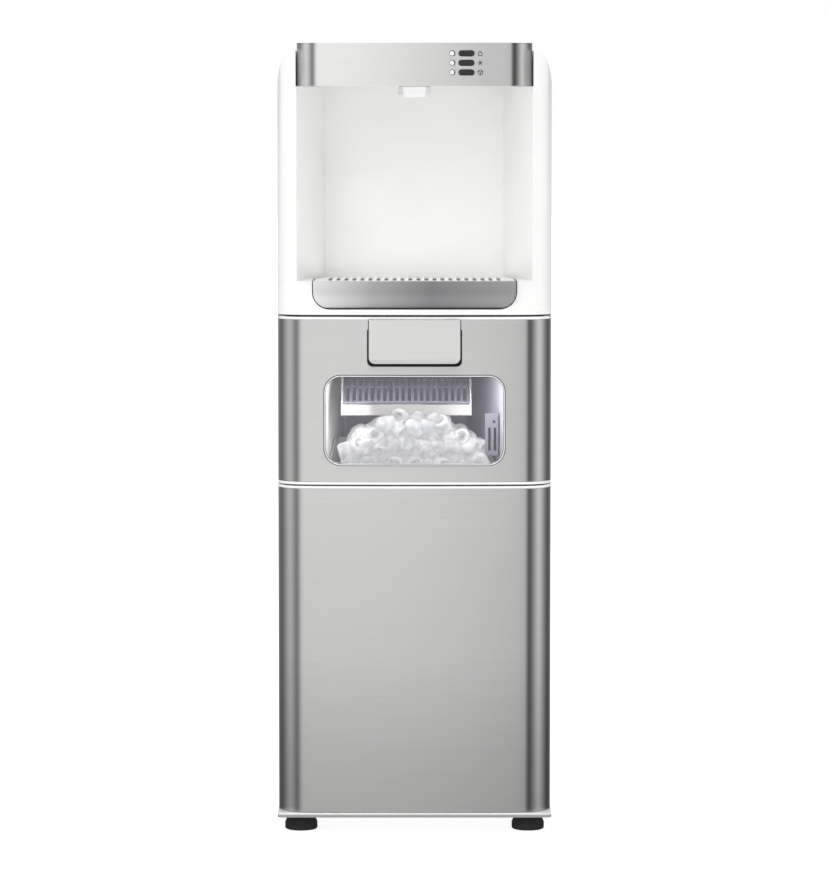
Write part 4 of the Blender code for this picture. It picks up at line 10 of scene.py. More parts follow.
import bmesh
import bpy
import numpy as np
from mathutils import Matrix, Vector


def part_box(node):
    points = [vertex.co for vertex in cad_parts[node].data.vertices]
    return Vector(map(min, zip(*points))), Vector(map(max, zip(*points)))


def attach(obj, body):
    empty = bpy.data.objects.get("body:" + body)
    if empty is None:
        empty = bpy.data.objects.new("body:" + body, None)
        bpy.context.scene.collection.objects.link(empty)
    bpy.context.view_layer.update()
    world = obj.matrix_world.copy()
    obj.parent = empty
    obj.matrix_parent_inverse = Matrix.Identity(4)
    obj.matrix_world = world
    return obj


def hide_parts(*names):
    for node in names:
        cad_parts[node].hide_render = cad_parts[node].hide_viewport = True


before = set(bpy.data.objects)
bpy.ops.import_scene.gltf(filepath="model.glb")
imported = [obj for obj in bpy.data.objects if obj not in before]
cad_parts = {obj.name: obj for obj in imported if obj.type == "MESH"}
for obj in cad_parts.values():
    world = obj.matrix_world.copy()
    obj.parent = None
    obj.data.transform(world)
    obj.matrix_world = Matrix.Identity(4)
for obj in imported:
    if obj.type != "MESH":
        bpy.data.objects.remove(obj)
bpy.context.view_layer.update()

# %% [markdown]
# Sizes come from the frame's own boxes wherever a node carries them, so a piece always sits where
# the CAD put it. What the boxes can't tell, such as a radius, is a named length in millimetres.
# SHEET is the steel's thickness, GAP the play between two pieces, RIM and RIM_DEPTH the size of the
# white rims beside the steel, and OVER how far a cutter reaches past what it cuts.

# %% Sizes shared by several pieces
MM = 0.001
SKIN_LOW, SKIN_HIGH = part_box("lower_panel_skin")
HALF = SKIN_HIGH[0]
FRONT = SKIN_LOW[1]
PANEL_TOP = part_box("lower_panel_frame")[1][2]
DOOR_LOW, DOOR_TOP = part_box("door_frame")[0][2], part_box("door_frame")[1][2]
HOUSING_LOW, HOUSING_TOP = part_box("upper_housing")[0][2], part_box("upper_housing")[1][2]
HOUSING_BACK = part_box("upper_housing")[1][1]
HEAD_LOW, HEAD_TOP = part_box("control_fascia")[0][2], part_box("control_fascia")[1][2]
HEAD_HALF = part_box("control_fascia")[1][0]
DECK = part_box("drip_grille")[1][2]
CORNER_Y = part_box("door_skin")[1][1]
BOW_RADIUS = 2400 * MM
CORNER_RADIUS = 38 * MM
HEAD_CORNER = 32 * MM
SHEET = 1 * MM
GAP = 0.3 * MM
RIM = 3.4 * MM
RIM_DEPTH = 13 * MM
OVER = 6 * MM
print(f"body {2 * HALF / MM:.0f} mm wide, front at y {FRONT / MM:.0f} mm, top at {HEAD_TOP / MM:.0f} mm")

# %% [markdown]
# Every outline below is an array of points. An arc is centre plus radius times cosine and sine,
# taken at evenly spaced angles, and a rectangle with round corners is four such arcs in a row.

# %% Outlines


def arc(centre, radii, start, end, steps):
    """Points (cx + a cos t, cy + b sin t) for t from start to end, in degrees."""
    t = np.radians(np.linspace(start, end, steps + 1))
    return np.column_stack((centre[0] + radii[0] * np.cos(t), centre[1] + radii[1] * np.sin(t)))


def round_box(left, right, low, high, radii, steps=12):
    """A rectangle whose corners, from low left round to high left, are quarter circles of four radii."""
    sides = [(left, low, 1, 1, 180), (right, low, -1, 1, 270), (right, high, -1, -1, 0),
             (left, high, 1, -1, 90)]
    corners = []
    for (x, y, across, up, start), r in zip(sides, radii):
        centre = (x + across * r, y + up * r)
        corners.append(arc(centre, (r, r), start, start + 90, steps) if r else np.array([[x, y]]))
    return np.vstack(corners)


def front_path(half, radius, inset, corner_steps=18, bow_steps=28):
    """The body's front in plan: a quarter turn, a shallow bow of radius BOW_RADIUS, a quarter turn."""
    cx = half - radius
    cy = FRONT + BOW_RADIUS - math.sqrt((BOW_RADIUS - radius) ** 2 - cx ** 2)
    turn = math.degrees(math.asin(cx / (BOW_RADIUS - radius)))
    left = arc((-cx, cy), (radius - inset,) * 2, 180, 270 - turn, corner_steps)
    middle = arc((0, FRONT + BOW_RADIUS), (BOW_RADIUS - inset,) * 2, 270 - turn, 270 + turn, bow_steps)
    right = arc((cx, cy), (radius - inset,) * 2, 270 + turn, 360, corner_steps)
    return np.vstack((left, middle[1:-1], right))


def bow(x, inset=0.0):
    """The bowed front's y at a distance x from the middle: a circle of radius BOW_RADIUS."""
    return FRONT + BOW_RADIUS - np.sqrt((BOW_RADIUS - inset) ** 2 - np.square(x))


# %% [markdown]
# Two surfaces make nearly everything here. A prism carries an outline along a straight line, and a
# lathe turns a profile about an upright axis. Holes are cut afterwards with exact Booleans, which
# are applied at once, and a narrow bevel then gives each edge the highlight that real edges have.

# %% Surfaces from arrays


def mesh_piece(name, points, faces):
    """Puts arrays into a mesh, merges doubled points and turns the faces outwards."""
    mesh = bpy.data.meshes.new(name)
    mesh.from_pydata(np.asarray(points).tolist(), [], [list(map(int, face)) for face in faces])
    shape = bmesh.new()
    shape.from_mesh(mesh)
    bmesh.ops.remove_doubles(shape, verts=shape.verts, dist=1e-6)
    bmesh.ops.recalc_face_normals(shape, faces=shape.faces)
    shape.to_mesh(mesh)
    shape.free()
    piece = bpy.data.objects.new(name, mesh)
    bpy.context.scene.collection.objects.link(piece)
    return piece


def prism(name, outline, low, high, facing="Z"):
    """An outline carried from low to high: (x, y) for Z, (x, z) for Y and (y, z) for X."""
    outline = np.asarray(outline, float)
    n = len(outline)
    across, up = np.tile(outline, (2, 1)).T
    along = np.repeat((low, high), n)
    columns = {"X": (along, across, up), "Y": (across, along, up), "Z": (across, up, along)}[facing]
    i = np.arange(n)
    j = (i + 1) % n
    sides = np.column_stack((i, j, j + n, i + n))
    return mesh_piece(name, np.column_stack(columns), [*sides, i[::-1], i + n])


def grid_faces(rows, columns):
    """Quads of a grid of points whose columns close into a ring."""
    r, c = np.meshgrid(np.arange(rows - 1), np.arange(columns), indexing="ij")
    r, c = r.ravel(), c.ravel()
    n = (c + 1) % columns
    return np.column_stack((r * columns + c, r * columns + n, (r + 1) * columns + n, (r + 1) * columns + c))


def lathe(name, profile, centre, sides=64, closed=False):
    """A profile of (radius, height) turned about an upright axis: (r cos t, r sin t, h)."""
    profile = np.asarray(profile, float)
    if closed:
        profile = np.vstack((profile, profile[:1]))
    t = np.linspace(0, 2 * math.pi, sides, endpoint=False)
    r, h = profile.T[:, :, None]
    points = np.stack((r * np.cos(t), r * np.sin(t), h + 0 * t), axis=-1).reshape(-1, 3)
    return mesh_piece(name, points + np.array(centre), grid_faces(len(profile), sides))


def carve(piece, *tools, how="DIFFERENCE"):
    """Applies one exact Boolean for each tool, then removes the tool."""
    for tool in tools:
        step = piece.modifiers.new("step", "BOOLEAN")
        step.operation, step.solver, step.object = how, "EXACT", tool
        view = bpy.context.evaluated_depsgraph_get()
        made = bpy.data.meshes.new_from_object(piece.evaluated_get(view))
        piece.modifiers.clear()
        piece.data = made
        bpy.data.objects.remove(tool, do_unlink=True)
    return piece


def merge(name, *pieces):
    """Joins pieces into one mesh, keeping their places."""
    shape = bmesh.new()
    for piece in pieces:
        shape.from_mesh(piece.data)
        bpy.data.objects.remove(piece, do_unlink=True)
    mesh = bpy.data.meshes.new(name)
    shape.to_mesh(mesh)
    shape.free()
    made = bpy.data.objects.new(name, mesh)
    bpy.context.scene.collection.objects.link(made)
    return made


# %% [markdown]
# A finish is named for its material and its making. Colours are sRGB hex values, as a paint chart
# gives them, and one function turns them to the linear values that a shader needs. One more adds a
# node with its settings and links, and every material below is built with it. Two steps come back
# in most of them: a tone that is shaded along one axis, and a bump from a height pattern.

# %% Colour and nodes


def linear(code):
    """Turns an sRGB hex colour to linear: c / 12.92 below 0.04045, else ((c + 0.055) / 1.055) ** 2.4."""
    c = np.array([int(code[i:i + 2], 16) / 255 for i in (1, 3, 5)])
    return (*np.where(c <= 0.04045, c / 12.92, ((c + 0.055) / 1.055) ** 2.4).tolist(), 1.0)


def grey(level):
    """A grey of one linear level."""
    return (level, level, level, 1.0)


def add(tree, kind, values=None, links=None, stops=(), **settings):
    """Adds a node, sets its attributes, sockets and (position, colour) stops, and links its inputs."""
    node = tree.nodes.new(kind)
    for key, value in settings.items():
        setattr(node, key, value)
    for key, value in (values or {}).items():
        node.inputs[key].default_value = value
    for key, source in (links or {}).items():
        tree.links.new(source, node.inputs[key])
    if stops:
        elements = node.color_ramp.elements
        elements.remove(elements[1])
        elements[0].position, elements[0].color = stops[0]
        for position, colour in stops[1:]:
            elements.new(position).color = colour
    return node


def blank(name):
    """A new material with its tree, its Principled shader and Object coordinates."""
    made = bpy.data.materials.new(name)
    made.use_nodes = True
    tree = made.node_tree
    place = add(tree, "ShaderNodeTexCoord").outputs["Object"]
    return made, tree, tree.nodes["Principled BSDF"], place


def set_values(shader, **values):
    """Sets the shader's own sockets. An underscore stands for a space in a socket's name."""
    for key, value in values.items():
        shader.inputs[key.replace("_", " ")].default_value = value


def share_along(tree, place, axis, low, high):
    """A share that grows from 0 at low to 1 at high along one axis, both in metres."""
    parts = add(tree, "ShaderNodeSeparateXYZ", links={"Vector": place})
    share = add(tree, "ShaderNodeMapRange", {"From Min": low, "From Max": high},
                {"Value": parts.outputs[axis]})
    return share.outputs[0]


def shaded(tree, place, tone, axis, low, high, levels):
    """Painted shade: the tone times a grey that changes from low to high along one axis, by (share, level)
    pairs.
    """
    greys = add(tree, "ShaderNodeValToRGB", links={"Fac": share_along(tree, place, axis, low, high)},
                stops=[(share, grey(level)) for share, level in levels])
    both = add(tree, "ShaderNodeVectorMath", links={0: tone, 1: greys.outputs["Color"]},
               operation="MULTIPLY")
    return both.outputs["Vector"]


def dress(tree, shader, tone, height, strength, lift):
    """Gives the shader its colour, and a bump that a height pattern lifts by at most lift."""
    bump = add(tree, "ShaderNodeBump", {"Strength": strength, "Distance": lift}, {"Height": height})
    tree.links.new(tone, shader.inputs["Base Color"])
    tree.links.new(bump.outputs["Normal"], shader.inputs["Normal"])


# %% [markdown]
# Brushed stainless steel is sheet ground along one direction with a fine belt. The scratches run
# across the cooler, so reflections smear up and down and stay crisp from side to side: that is why
# each round corner shows its upright bands. An anisotropic shader does this, with its tangent
# upright. A scratch is 0.1 mm wide, too fine to show here, so the streaks are 1.5 by 120 mm. A
# painted shade darkens the panels and the tab towards the floor, and the band towards its right end.
# The band's copy of the steel is drawn much lighter than the panels', a painted highlight, and the
# tab's a little darker, a painted shade.

# %% Brushed stainless steel


def brushed_steel(name, dark, light, roughness, shade, streak=1.5 * MM, length=120 * MM, lift=0.03 * MM):
    """Noise stretched across the sheet tints and lifts it, and gloss spreads along an upright tangent."""
    made, tree, shader, place = blank(name)
    stretch = add(tree, "ShaderNodeMapping", {"Scale": (1 / length, 1 / length, 1 / streak)},
                  {"Vector": place})
    grain = add(tree, "ShaderNodeTexNoise", {"Scale": 1.0, "Detail": 4.0, "Roughness": 0.7},
                {"Vector": stretch.outputs[0]})
    tone = add(tree, "ShaderNodeValToRGB", links={"Fac": grain.outputs["Fac"]},
               stops=[(0.3, linear(dark)), (0.7, linear(light))])
    tint = shaded(tree, place, tone.outputs["Color"], *shade)
    dress(tree, shader, tint, grain.outputs["Fac"], 0.2, lift)
    upright = add(tree, "ShaderNodeCombineXYZ", {"Z": 1.0})
    tree.links.new(upright.outputs["Vector"], shader.inputs["Tangent"])
    set_values(shader, Metallic=1.0, Roughness=roughness, Anisotropic=0.8)
    return made


# Painted shade over height for the panels and tab, and over width for the band; the band's lighter copy is a
# painted highlight.
PAINTED_HEIGHT_SHADE = ("Z", 0.03, 0.75, [(0.0, 0.64), (0.1, 0.71), (0.3, 0.91), (0.6, 1.0), (1.0, 1.0)])
PAINTED_WIDTH_SHADE = ("X", -HEAD_HALF, HEAD_HALF,
               [(0.0, 0.98), (0.25, 0.93), (0.6, 0.79), (0.8, 0.7), (1.0, 0.74)])
PANEL_STEEL = brushed_steel("brushed_stainless_steel", "#DADAD9", "#DFDFDE", 0.33, PAINTED_HEIGHT_SHADE)
TAB_STEEL = brushed_steel("brushed_stainless_pull", "#D8D8D7", "#DDDDDC", 0.33, PAINTED_HEIGHT_SHADE)
HEAD_STEEL = brushed_steel("brushed_stainless_band", "#F6F6F5", "#FAFAF9", 0.28, PAINTED_WIDTH_SHADE)

# %% [markdown]
# Moulded plastics and painted sheets share one recipe: an even colour that drifts a little, and a
# very shallow texture from the mould or the spray. The texture is a few hundredths of a millimetre
# deep. Its grain is given in millimetres, and it is drawn as coarse as it has to be to show.

# %% Moulded and painted finishes


def moulded(name, colour, drift, grain, roughness, lift=0.02 * MM, metallic=0.0, ior=1.5,
            shade=None):
    """Colour drifts between two hex values over 60 mm, and noise of the grain's size lifts the surface."""
    made, tree, shader, place = blank(name)
    broad = add(tree, "ShaderNodeTexNoise", {"Scale": 1 / (60 * MM), "Detail": 2.0}, {"Vector": place})
    tone = add(tree, "ShaderNodeValToRGB", links={"Fac": broad.outputs["Fac"]},
               stops=[(0.35, linear(colour)), (0.65, linear(drift))])
    tint = shaded(tree, place, tone.outputs["Color"], *shade) if shade else tone.outputs["Color"]
    fine = add(tree, "ShaderNodeTexNoise", {"Scale": 1 / grain, "Detail": 3.0}, {"Vector": place})
    dress(tree, shader, tint, fine.outputs["Fac"], 0.2, lift)
    set_values(shader, Metallic=metallic, Roughness=roughness)
    if not metallic:
        set_values(shader, IOR=ior)
    return made


BASE_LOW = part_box("base_tray")[0][2]
# Painted shade: the base is drawn dark grey along its lower edge, under its lip.
BASE_EDGE_PAINTED_SHADE = ("Z", BASE_LOW, BASE_LOW + 10 * MM, [(0.0, 0.3), (0.36, 0.4), (0.46, 0.95), (1.0, 1.0)])
WHITE_ABS = moulded("moulded_white_abs", "#F5F5F4", "#F2F2F1", 1.2 * MM, 0.32, ior=1.53)
BASE_MOULDING_PAINTED_SHADE = moulded("white_abs_base_painted_shade", "#F3F3F2", "#F0F0EF", 1.2 * MM, 0.32, ior=1.53,
                   shade=BASE_EDGE_PAINTED_SHADE)
TRAY_GREY = moulded("moulded_grey_abs", "#77797C", "#707275", 1.2 * MM, 0.4)
# Painted shade: the nozzle's collar is its white moulding drawn pale grey.
COLLAR_PAINTED_SHADE = moulded("collar_abs_painted_shade", "#DCDCDD", "#D8D8D9", 1.2 * MM, 0.35)
# Painted shade: the ice maker's white polypropylene is drawn mid grey inside its compartment.
MAKER_PAINTED_SHADE = moulded("maker_polypropylene_painted_shade", "#B2B0AD", "#ADABA8", 1.2 * MM, 0.35)
# Painted shade: the chute's white polypropylene is drawn violet grey; the water tray and sensor cover share
# it.
CHUTE_PAINTED_SHADE = moulded("chute_polypropylene_painted_shade", "#918F9C", "#8B8996", 1.2 * MM, 0.35)
COATED_SHEET = moulded("powder_coated_grey_sheet", "#B3B4B6", "#B0B1B3", 0.8 * MM, 0.45, lift=0.05 * MM)
BLACK_RUBBER = moulded("moulded_black_rubber", "#1B1B1C", "#161617", 1.0 * MM, 0.6)
BLACK_PLASTIC = moulded("moulded_black_nylon", "#1E1E20", "#19191B", 0.8 * MM, 0.4)
BUTTON_PLASTIC = moulded("dark_moulded_button", "#202022", "#1A1A1C", 0.8 * MM, 0.35)
MOTOR_PLASTIC = moulded("glass_filled_nylon", "#2B2C2E", "#262729", 0.9 * MM, 0.5)
GASKET_RUBBER = moulded("extruded_door_seal", "#C9CACC", "#C3C4C6", 1.5 * MM, 0.6)
FOAM = moulded("rigid_insulation_foam", "#E8E0C8", "#DDD4BA", 2.5 * MM, 0.9, lift=0.4 * MM)
SILICONE = moulded("clear_white_silicone", "#E4E6E2", "#DDDFDB", 2.0 * MM, 0.45)
GALVANISED = moulded("galvanised_sheet", "#A8ABAD", "#989B9E", 6.0 * MM, 0.42, metallic=0.9)
DRAWN_STEEL = moulded("deep_drawn_stainless", "#C0C0BF", "#B6B6B5", 3.0 * MM, 0.28, metallic=1.0)
COPPER = moulded("bright_copper_tube", "#D59A7A", "#C98C6C", 5.0 * MM, 0.3, metallic=1.0)
CIRCUIT = moulded("green_circuit_board", "#1F5A35", "#18502D", 3.0 * MM, 0.45)
BLACK_PAINT = moulded("black_enamelled_can", "#18181A", "#141416", 1.5 * MM, 0.35)

# %% [markdown]
# The window is a moulded pane of clear polycarbonate. Seen straight through, it is a film that
# hides little, with a faint violet haze and a gloss, so it is drawn with a low alpha. The ice is
# cloudy with trapped air. Light wanders through the whole heap, so the ice is grey and scattering,
# with a faint painted glow that stands in for the light coming out of every piece: it looks soft,
# where a plain white one would look like chalk.

# %% Clear pane and ice


def clear_pane():
    """A glossy film of low alpha, whose violet haze drifts over 80 mm."""
    made, tree, shader, place = blank("moulded_clear_polycarbonate")
    haze = add(tree, "ShaderNodeTexNoise", {"Scale": 1 / (80 * MM), "Detail": 1.0}, {"Vector": place})
    tone = add(tree, "ShaderNodeValToRGB", links={"Fac": haze.outputs["Fac"]},
               stops=[(0.3, linear("#C9C8D4")), (0.7, linear("#D2D1DC"))])
    tree.links.new(tone.outputs["Color"], shader.inputs["Base Color"])
    set_values(shader, Roughness=0.03, IOR=1.58, Alpha=0.07)
    return made


def cloudy_ice():
    """Ice whose clouds are 9 mm across. Light wanders about 15 mm through it, and a faint painted glow lifts
    it.
    """
    made, tree, shader, place = blank("bullet_ice_with_painted_glow")
    cloud = add(tree, "ShaderNodeTexNoise", {"Scale": 1 / (9 * MM), "Detail": 3.0}, {"Vector": place})
    tone = add(tree, "ShaderNodeValToRGB", links={"Fac": cloud.outputs["Fac"]},
               stops=[(0.35, linear("#ABACAF")), (0.65, linear("#D4D5D8"))])
    dress(tree, shader, tone.outputs["Color"], cloud.outputs["Fac"], 0.3, 0.3 * MM)
    set_values(shader, Roughness=0.12, IOR=1.31, Transmission_Weight=0.3, Subsurface_Weight=1.0)
    set_values(shader, Subsurface_Radius=(14 * MM, 15 * MM, 16 * MM), Subsurface_Scale=1.0)
    set_values(shader, Emission_Color=linear("#F6F5F3"), Emission_Strength=0.19)
    return made


def liner_with_painted_light(left, right):
    """A vacuum-formed liner, painted lit warm white on its left wall and violet grey shade behind, by a ramp
    over x.
    """
    made, tree, shader, place = blank("formed_liner_painted_light_and_shade")
    across = share_along(tree, place, "X", left, right)
    tone = add(tree, "ShaderNodeValToRGB", links={"Fac": across},
               stops=[(0.0, linear("#FFFEFA")), (0.11, linear("#F3F1EC")), (0.15, linear("#A6A3B0")),
                      (0.8, linear("#A6A3B0")), (0.88, linear("#C0BECA")), (1.0, linear("#D8D6DE"))])
    fine = add(tree, "ShaderNodeTexNoise", {"Scale": 1 / (1.5 * MM), "Detail": 3.0}, {"Vector": place})
    dress(tree, shader, tone.outputs["Color"], fine.outputs["Fac"], 0.2, 0.02 * MM)
    set_values(shader, Roughness=0.4, IOR=1.53)
    return made


CLEAR = clear_pane()
ICE = cloudy_ice()
# Painted light and shade across the liner, from its left wall to its right.
LINER_PAINTED_LIGHT = liner_with_painted_light(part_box("door_gasket")[0][0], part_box("door_gasket")[1][0])

# %% [markdown]
# Each new piece rides on a CAD body and stands for the nodes it redraws, which it hides. Its
# edges get a bevel of 0.3 to 1.6 mm, and what bends by less than 35 degrees is shaded smooth.

# %% Finishing a piece


def soften(piece, width, segments=2):
    """A narrow bevel on the edges that turn by more than 50 degrees."""
    edge = piece.modifiers.new("softened_edges", "BEVEL")
    edge.width, edge.segments = width, segments
    edge.limit_method, edge.angle_limit = "ANGLE", math.radians(50)
    edge.harden_normals = True


def finish(piece, body, look, nodes=(), edge=0.0):
    """Gives a piece its look, shading and edges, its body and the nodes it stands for."""
    piece.data.materials.clear()
    piece.data.materials.append(look)
    piece.data.shade_smooth()
    piece.data.set_sharp_from_angle(angle=math.radians(35))
    if edge:
        soften(piece, edge)
    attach(piece, body)
    if nodes:
        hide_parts(*nodes)
    print(f"{piece.name}: {len(piece.data.polygons)} faces")
    return piece


# %% [markdown]
# The lower panel is one bent sheet of brushed steel. Its plan is the front path and a copy of it
# one sheet further in. A white moulded frame carries it, and shows only as a thin rim on top.

# %% Lower panel
outer = front_path(HALF, CORNER_RADIUS, 0)
inner = front_path(HALF, CORNER_RADIUS, SHEET)
finish(prism("lower_panel", np.vstack((outer, inner[::-1])), SKIN_LOW[2], SKIN_HIGH[2]),
       "cabinet", PANEL_STEEL, ["lower_panel_skin"], 0.35 * MM)


def rim_ring(name, low, high):
    """A flat ring between the front path and its offset by RIM_DEPTH."""
    ring = np.vstack((front_path(HALF, CORNER_RADIUS, 0), front_path(HALF, CORNER_RADIUS, RIM_DEPTH)[::-1]))
    return prism(name, ring, low, high)


CARRIER_DEPTH = 4.3 * MM
carrier = np.vstack((front_path(HALF, CORNER_RADIUS, SHEET + GAP),
                     front_path(HALF, CORNER_RADIUS, CARRIER_DEPTH)[::-1]))
frame_wall = prism("frame_wall", carrier, SKIN_LOW[2], PANEL_TOP - RIM)
finish(merge("lower_panel_carrier", frame_wall, rim_ring("lower_rim", PANEL_TOP - RIM, PANEL_TOP)),
       "cabinet", WHITE_ABS, ["lower_panel_frame"], 0.6 * MM)

# %% [markdown]
# The ice door has the same bent skin with two openings: a window with 23 mm corners, and a finger
# pocket behind the pull tab. Cutting both through the sheet and its carrier together keeps their
# edges in line.

# %% Ice door
WINDOW_HALF, WINDOW_LOW, WINDOW_TOP = 120.5 * MM, DOOR_LOW + 24.7 * MM, DOOR_LOW + 145.9 * MM
WINDOW_CORNER = 23 * MM
TAB_LOW, TAB_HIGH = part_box("door_tab")
POCKET_HALF, POCKET_LOW, POCKET_TOP = 62.6 * MM, TAB_LOW[2] - 0.3 * MM, TAB_HIGH[2] - 13.7 * MM
POCKET_CORNER, POCKET_CUT = 7.2 * MM, 15 * MM
DOOR_BACK = FRONT + 26 * MM
LEAF_LOW, LEAF_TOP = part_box("door_skin")[0][2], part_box("door_skin")[1][2]


def window_tool(name, shrink, start, end):
    """The window's outline, drawn in by a margin, as a cutter."""
    half = WINDOW_HALF - shrink
    outline = round_box(-half, half, WINDOW_LOW + shrink, WINDOW_TOP - shrink,
                        (WINDOW_CORNER - shrink,) * 4, 16)
    return prism(name, outline, start, end, "Y")


def pocket_outline(inset):
    """The finger pocket's front view, drawn in by an inset: round below and square above."""
    half, corner = POCKET_HALF - inset, POCKET_CORNER - inset
    return round_box(-half, half, POCKET_LOW + inset, POCKET_TOP - inset, (corner, corner, 0, 0))


def pocket_tool(name):
    """The finger pocket as a cutter."""
    return prism(name, pocket_outline(0), FRONT - OVER, FRONT + POCKET_CUT, "Y")


leaf = prism("door_leaf", np.vstack((outer, inner[::-1])), LEAF_LOW, LEAF_TOP)
carve(leaf, window_tool("window_hole", 0, FRONT - OVER, DOOR_BACK), pocket_tool("pocket_hole"))
finish(leaf, "ice_door", PANEL_STEEL, ["door_skin"], 0.35 * MM)

# %% [markdown]
# Behind the skin is a thick white moulding. It closes the door's depth, forms the window's seat
# and throat, and shows as a white rim above and below the steel. Its foot is thin, so that it can
# swing, and slotted for the two fixed ears that hold the hinge's rod.

# %% Ice door moulding
SIDE_WALL = 10.3 * MM
HINGE_Z = DOOR_LOW + 16 * MM
EAR_X, EAR_SLOT_HALF, EAR_SLOT_FRONT, EAR_SLOT_RISE = 74 * MM, 2.6 * MM, 2.9 * MM, 4.1 * MM
FOOT_WALL, RIM_END, SWING_TRIM = 17.5 * MM, 10 * MM, 1.2 * MM
SEAT_MARGIN, SEAT_DEPTH, THROAT_INSET = 4.5 * MM, 7.3 * MM, 1.6 * MM
side = HALF - SIDE_WALL
returns = [(side, CORNER_Y), (side, DOOR_BACK), (-side, DOOR_BACK), (-side, CORNER_Y)]
core = prism("door_core", np.vstack((front_path(HALF, CORNER_RADIUS, SHEET + GAP), returns)), DOOR_LOW,
             DOOR_TOP)


def slab(name, sides, front, back, low, high):
    """A plain block between two sides, as a cutter."""
    return prism(name, [(front, low), (back, low), (back, high), (front, high)], *sides, "X")


def foot_relief(half):
    """What the door's foot loses behind its thin front wall, up to the hinge."""
    return slab("foot_relief", (-half, half), FRONT + FOOT_WALL, CORNER_Y + OVER, DOOR_LOW - OVER,
                HINGE_Z + GAP)


def ear_slots():
    """The slots in which the hinge's fixed ears stand, down to the foot and out at the back."""
    return [slab("ear_slot", (x - EAR_SLOT_HALF, x + EAR_SLOT_HALF), FRONT + EAR_SLOT_FRONT,
                 DOOR_BACK + OVER, DOOR_LOW - 2 * OVER, HINGE_Z + EAR_SLOT_RISE) for x in (-EAR_X, EAR_X)]


def door_reliefs():
    """The cuts that let the door swing: thin at its foot, trimmed inside its top, lower at its top edge."""
    trim, swing = side - GAP, HALF + 2 * OVER
    return (foot_relief(HALF + OVER),
            slab("top_trim", (-trim, trim), DOOR_BACK + GAP, CORNER_Y + 2 * OVER, LEAF_TOP - OVER,
                 DOOR_TOP + 2 * OVER),
            slab("swing_relief", (-swing, swing), DOOR_BACK, CORNER_Y + 3 * OVER, DOOR_TOP - SWING_TRIM,
                 DOOR_TOP + OVER))


carve(core, *door_reliefs(), *ear_slots(),
      window_tool("window_seat", -SEAT_MARGIN, FRONT - OVER, FRONT + SEAT_DEPTH),
      window_tool("window_throat", THROAT_INSET, FRONT - OVER, DOOR_BACK + OVER),
      pocket_tool("pocket_hollow"))
low_rim = carve(rim_ring("door_low_rim", DOOR_LOW, LEAF_LOW - GAP), *ear_slots(),
                foot_relief(HALF - RIM_END))
top_rim = carve(rim_ring("door_top_rim", LEAF_TOP + GAP, DOOR_TOP), *door_reliefs())
finish(merge("door_moulding", core, low_rim, top_rim), "ice_door", WHITE_ABS, ["door_frame"],
       0.5 * MM)

# %% [markdown]
# The pane is flush with the skin and bowed like it: a slice of the front 4 mm thick, cut to the
# window's outline.

# %% Door window
PANE, PANE_INSET = 4 * MM, 2.9 * MM
pane_ring = np.vstack((outer, front_path(HALF, CORNER_RADIUS, PANE)[::-1]))
pane = prism("window_pane", pane_ring, WINDOW_LOW - OVER, WINDOW_TOP + OVER)
carve(pane, window_tool("pane_outline", PANE_INSET, FRONT - OVER, DOOR_BACK), how="INTERSECT")
finish(pane, "ice_door", CLEAR, ["door_window"], 0.3 * MM)

# %% [markdown]
# The window's outline is three fine lines: a dark seal between the steel and the pane, the pane's
# own ground edge, which is bright, and a dark ring of painted shadow just inside it. Each is a slice
# of the bowed front between two offsets, cut to a ring by the window's outline and a smaller copy of it.

# %% Window seal and ground edge
GROUND_EDGE = moulded("ground_polycarbonate_edge", "#F2F2F4", "#EDEDF0", 0.8 * MM, 0.3)


def window_ring(name, outside, inside, front, back):
    """A bowed ring between two insets of the window's outline, from one depth to another."""
    slice_plan = np.vstack((front_path(HALF, CORNER_RADIUS, front),
                            front_path(HALF, CORNER_RADIUS, back)[::-1]))
    ring = prism(name, slice_plan, WINDOW_LOW - OVER, WINDOW_TOP + OVER)
    carve(ring, window_tool("ring_outside", outside, FRONT - OVER, DOOR_BACK), how="INTERSECT")
    return carve(ring, window_tool("ring_inside", inside, FRONT - OVER, DOOR_BACK))


# name, inset of the outside and the inside, depth of the front and the back, all in millimetres,
# then look, slot and bevel
RINGS = [("window_seal", 0.05, 0.95, 0.25, 3.6, BLACK_RUBBER, "black_rubber", 0.0),
         ("window_ground_edge", 1.0, 2.3, -0.02, 3.5, GROUND_EDGE, "clear", 0.3),
         # The inner line is a dark ring of painted shadow.
         ("window_painted_shadow_line", 2.35, 2.9, 0.6, 3.5, MOTOR_PLASTIC, "black_rubber", 0.0)]
for name, outside, inside, front, back, look, slot, edge in RINGS:
    ring = window_ring(name, outside * MM, inside * MM, front * MM, back * MM)
    finish(ring, "ice_door", look, edge=edge * MM)

# %% [markdown]
# The pull tab is a steel wedge: flush at its top and 12 mm proud at its lower edge, where fingers
# reach up behind it. Its lower corners are round, and its plate is left bare.

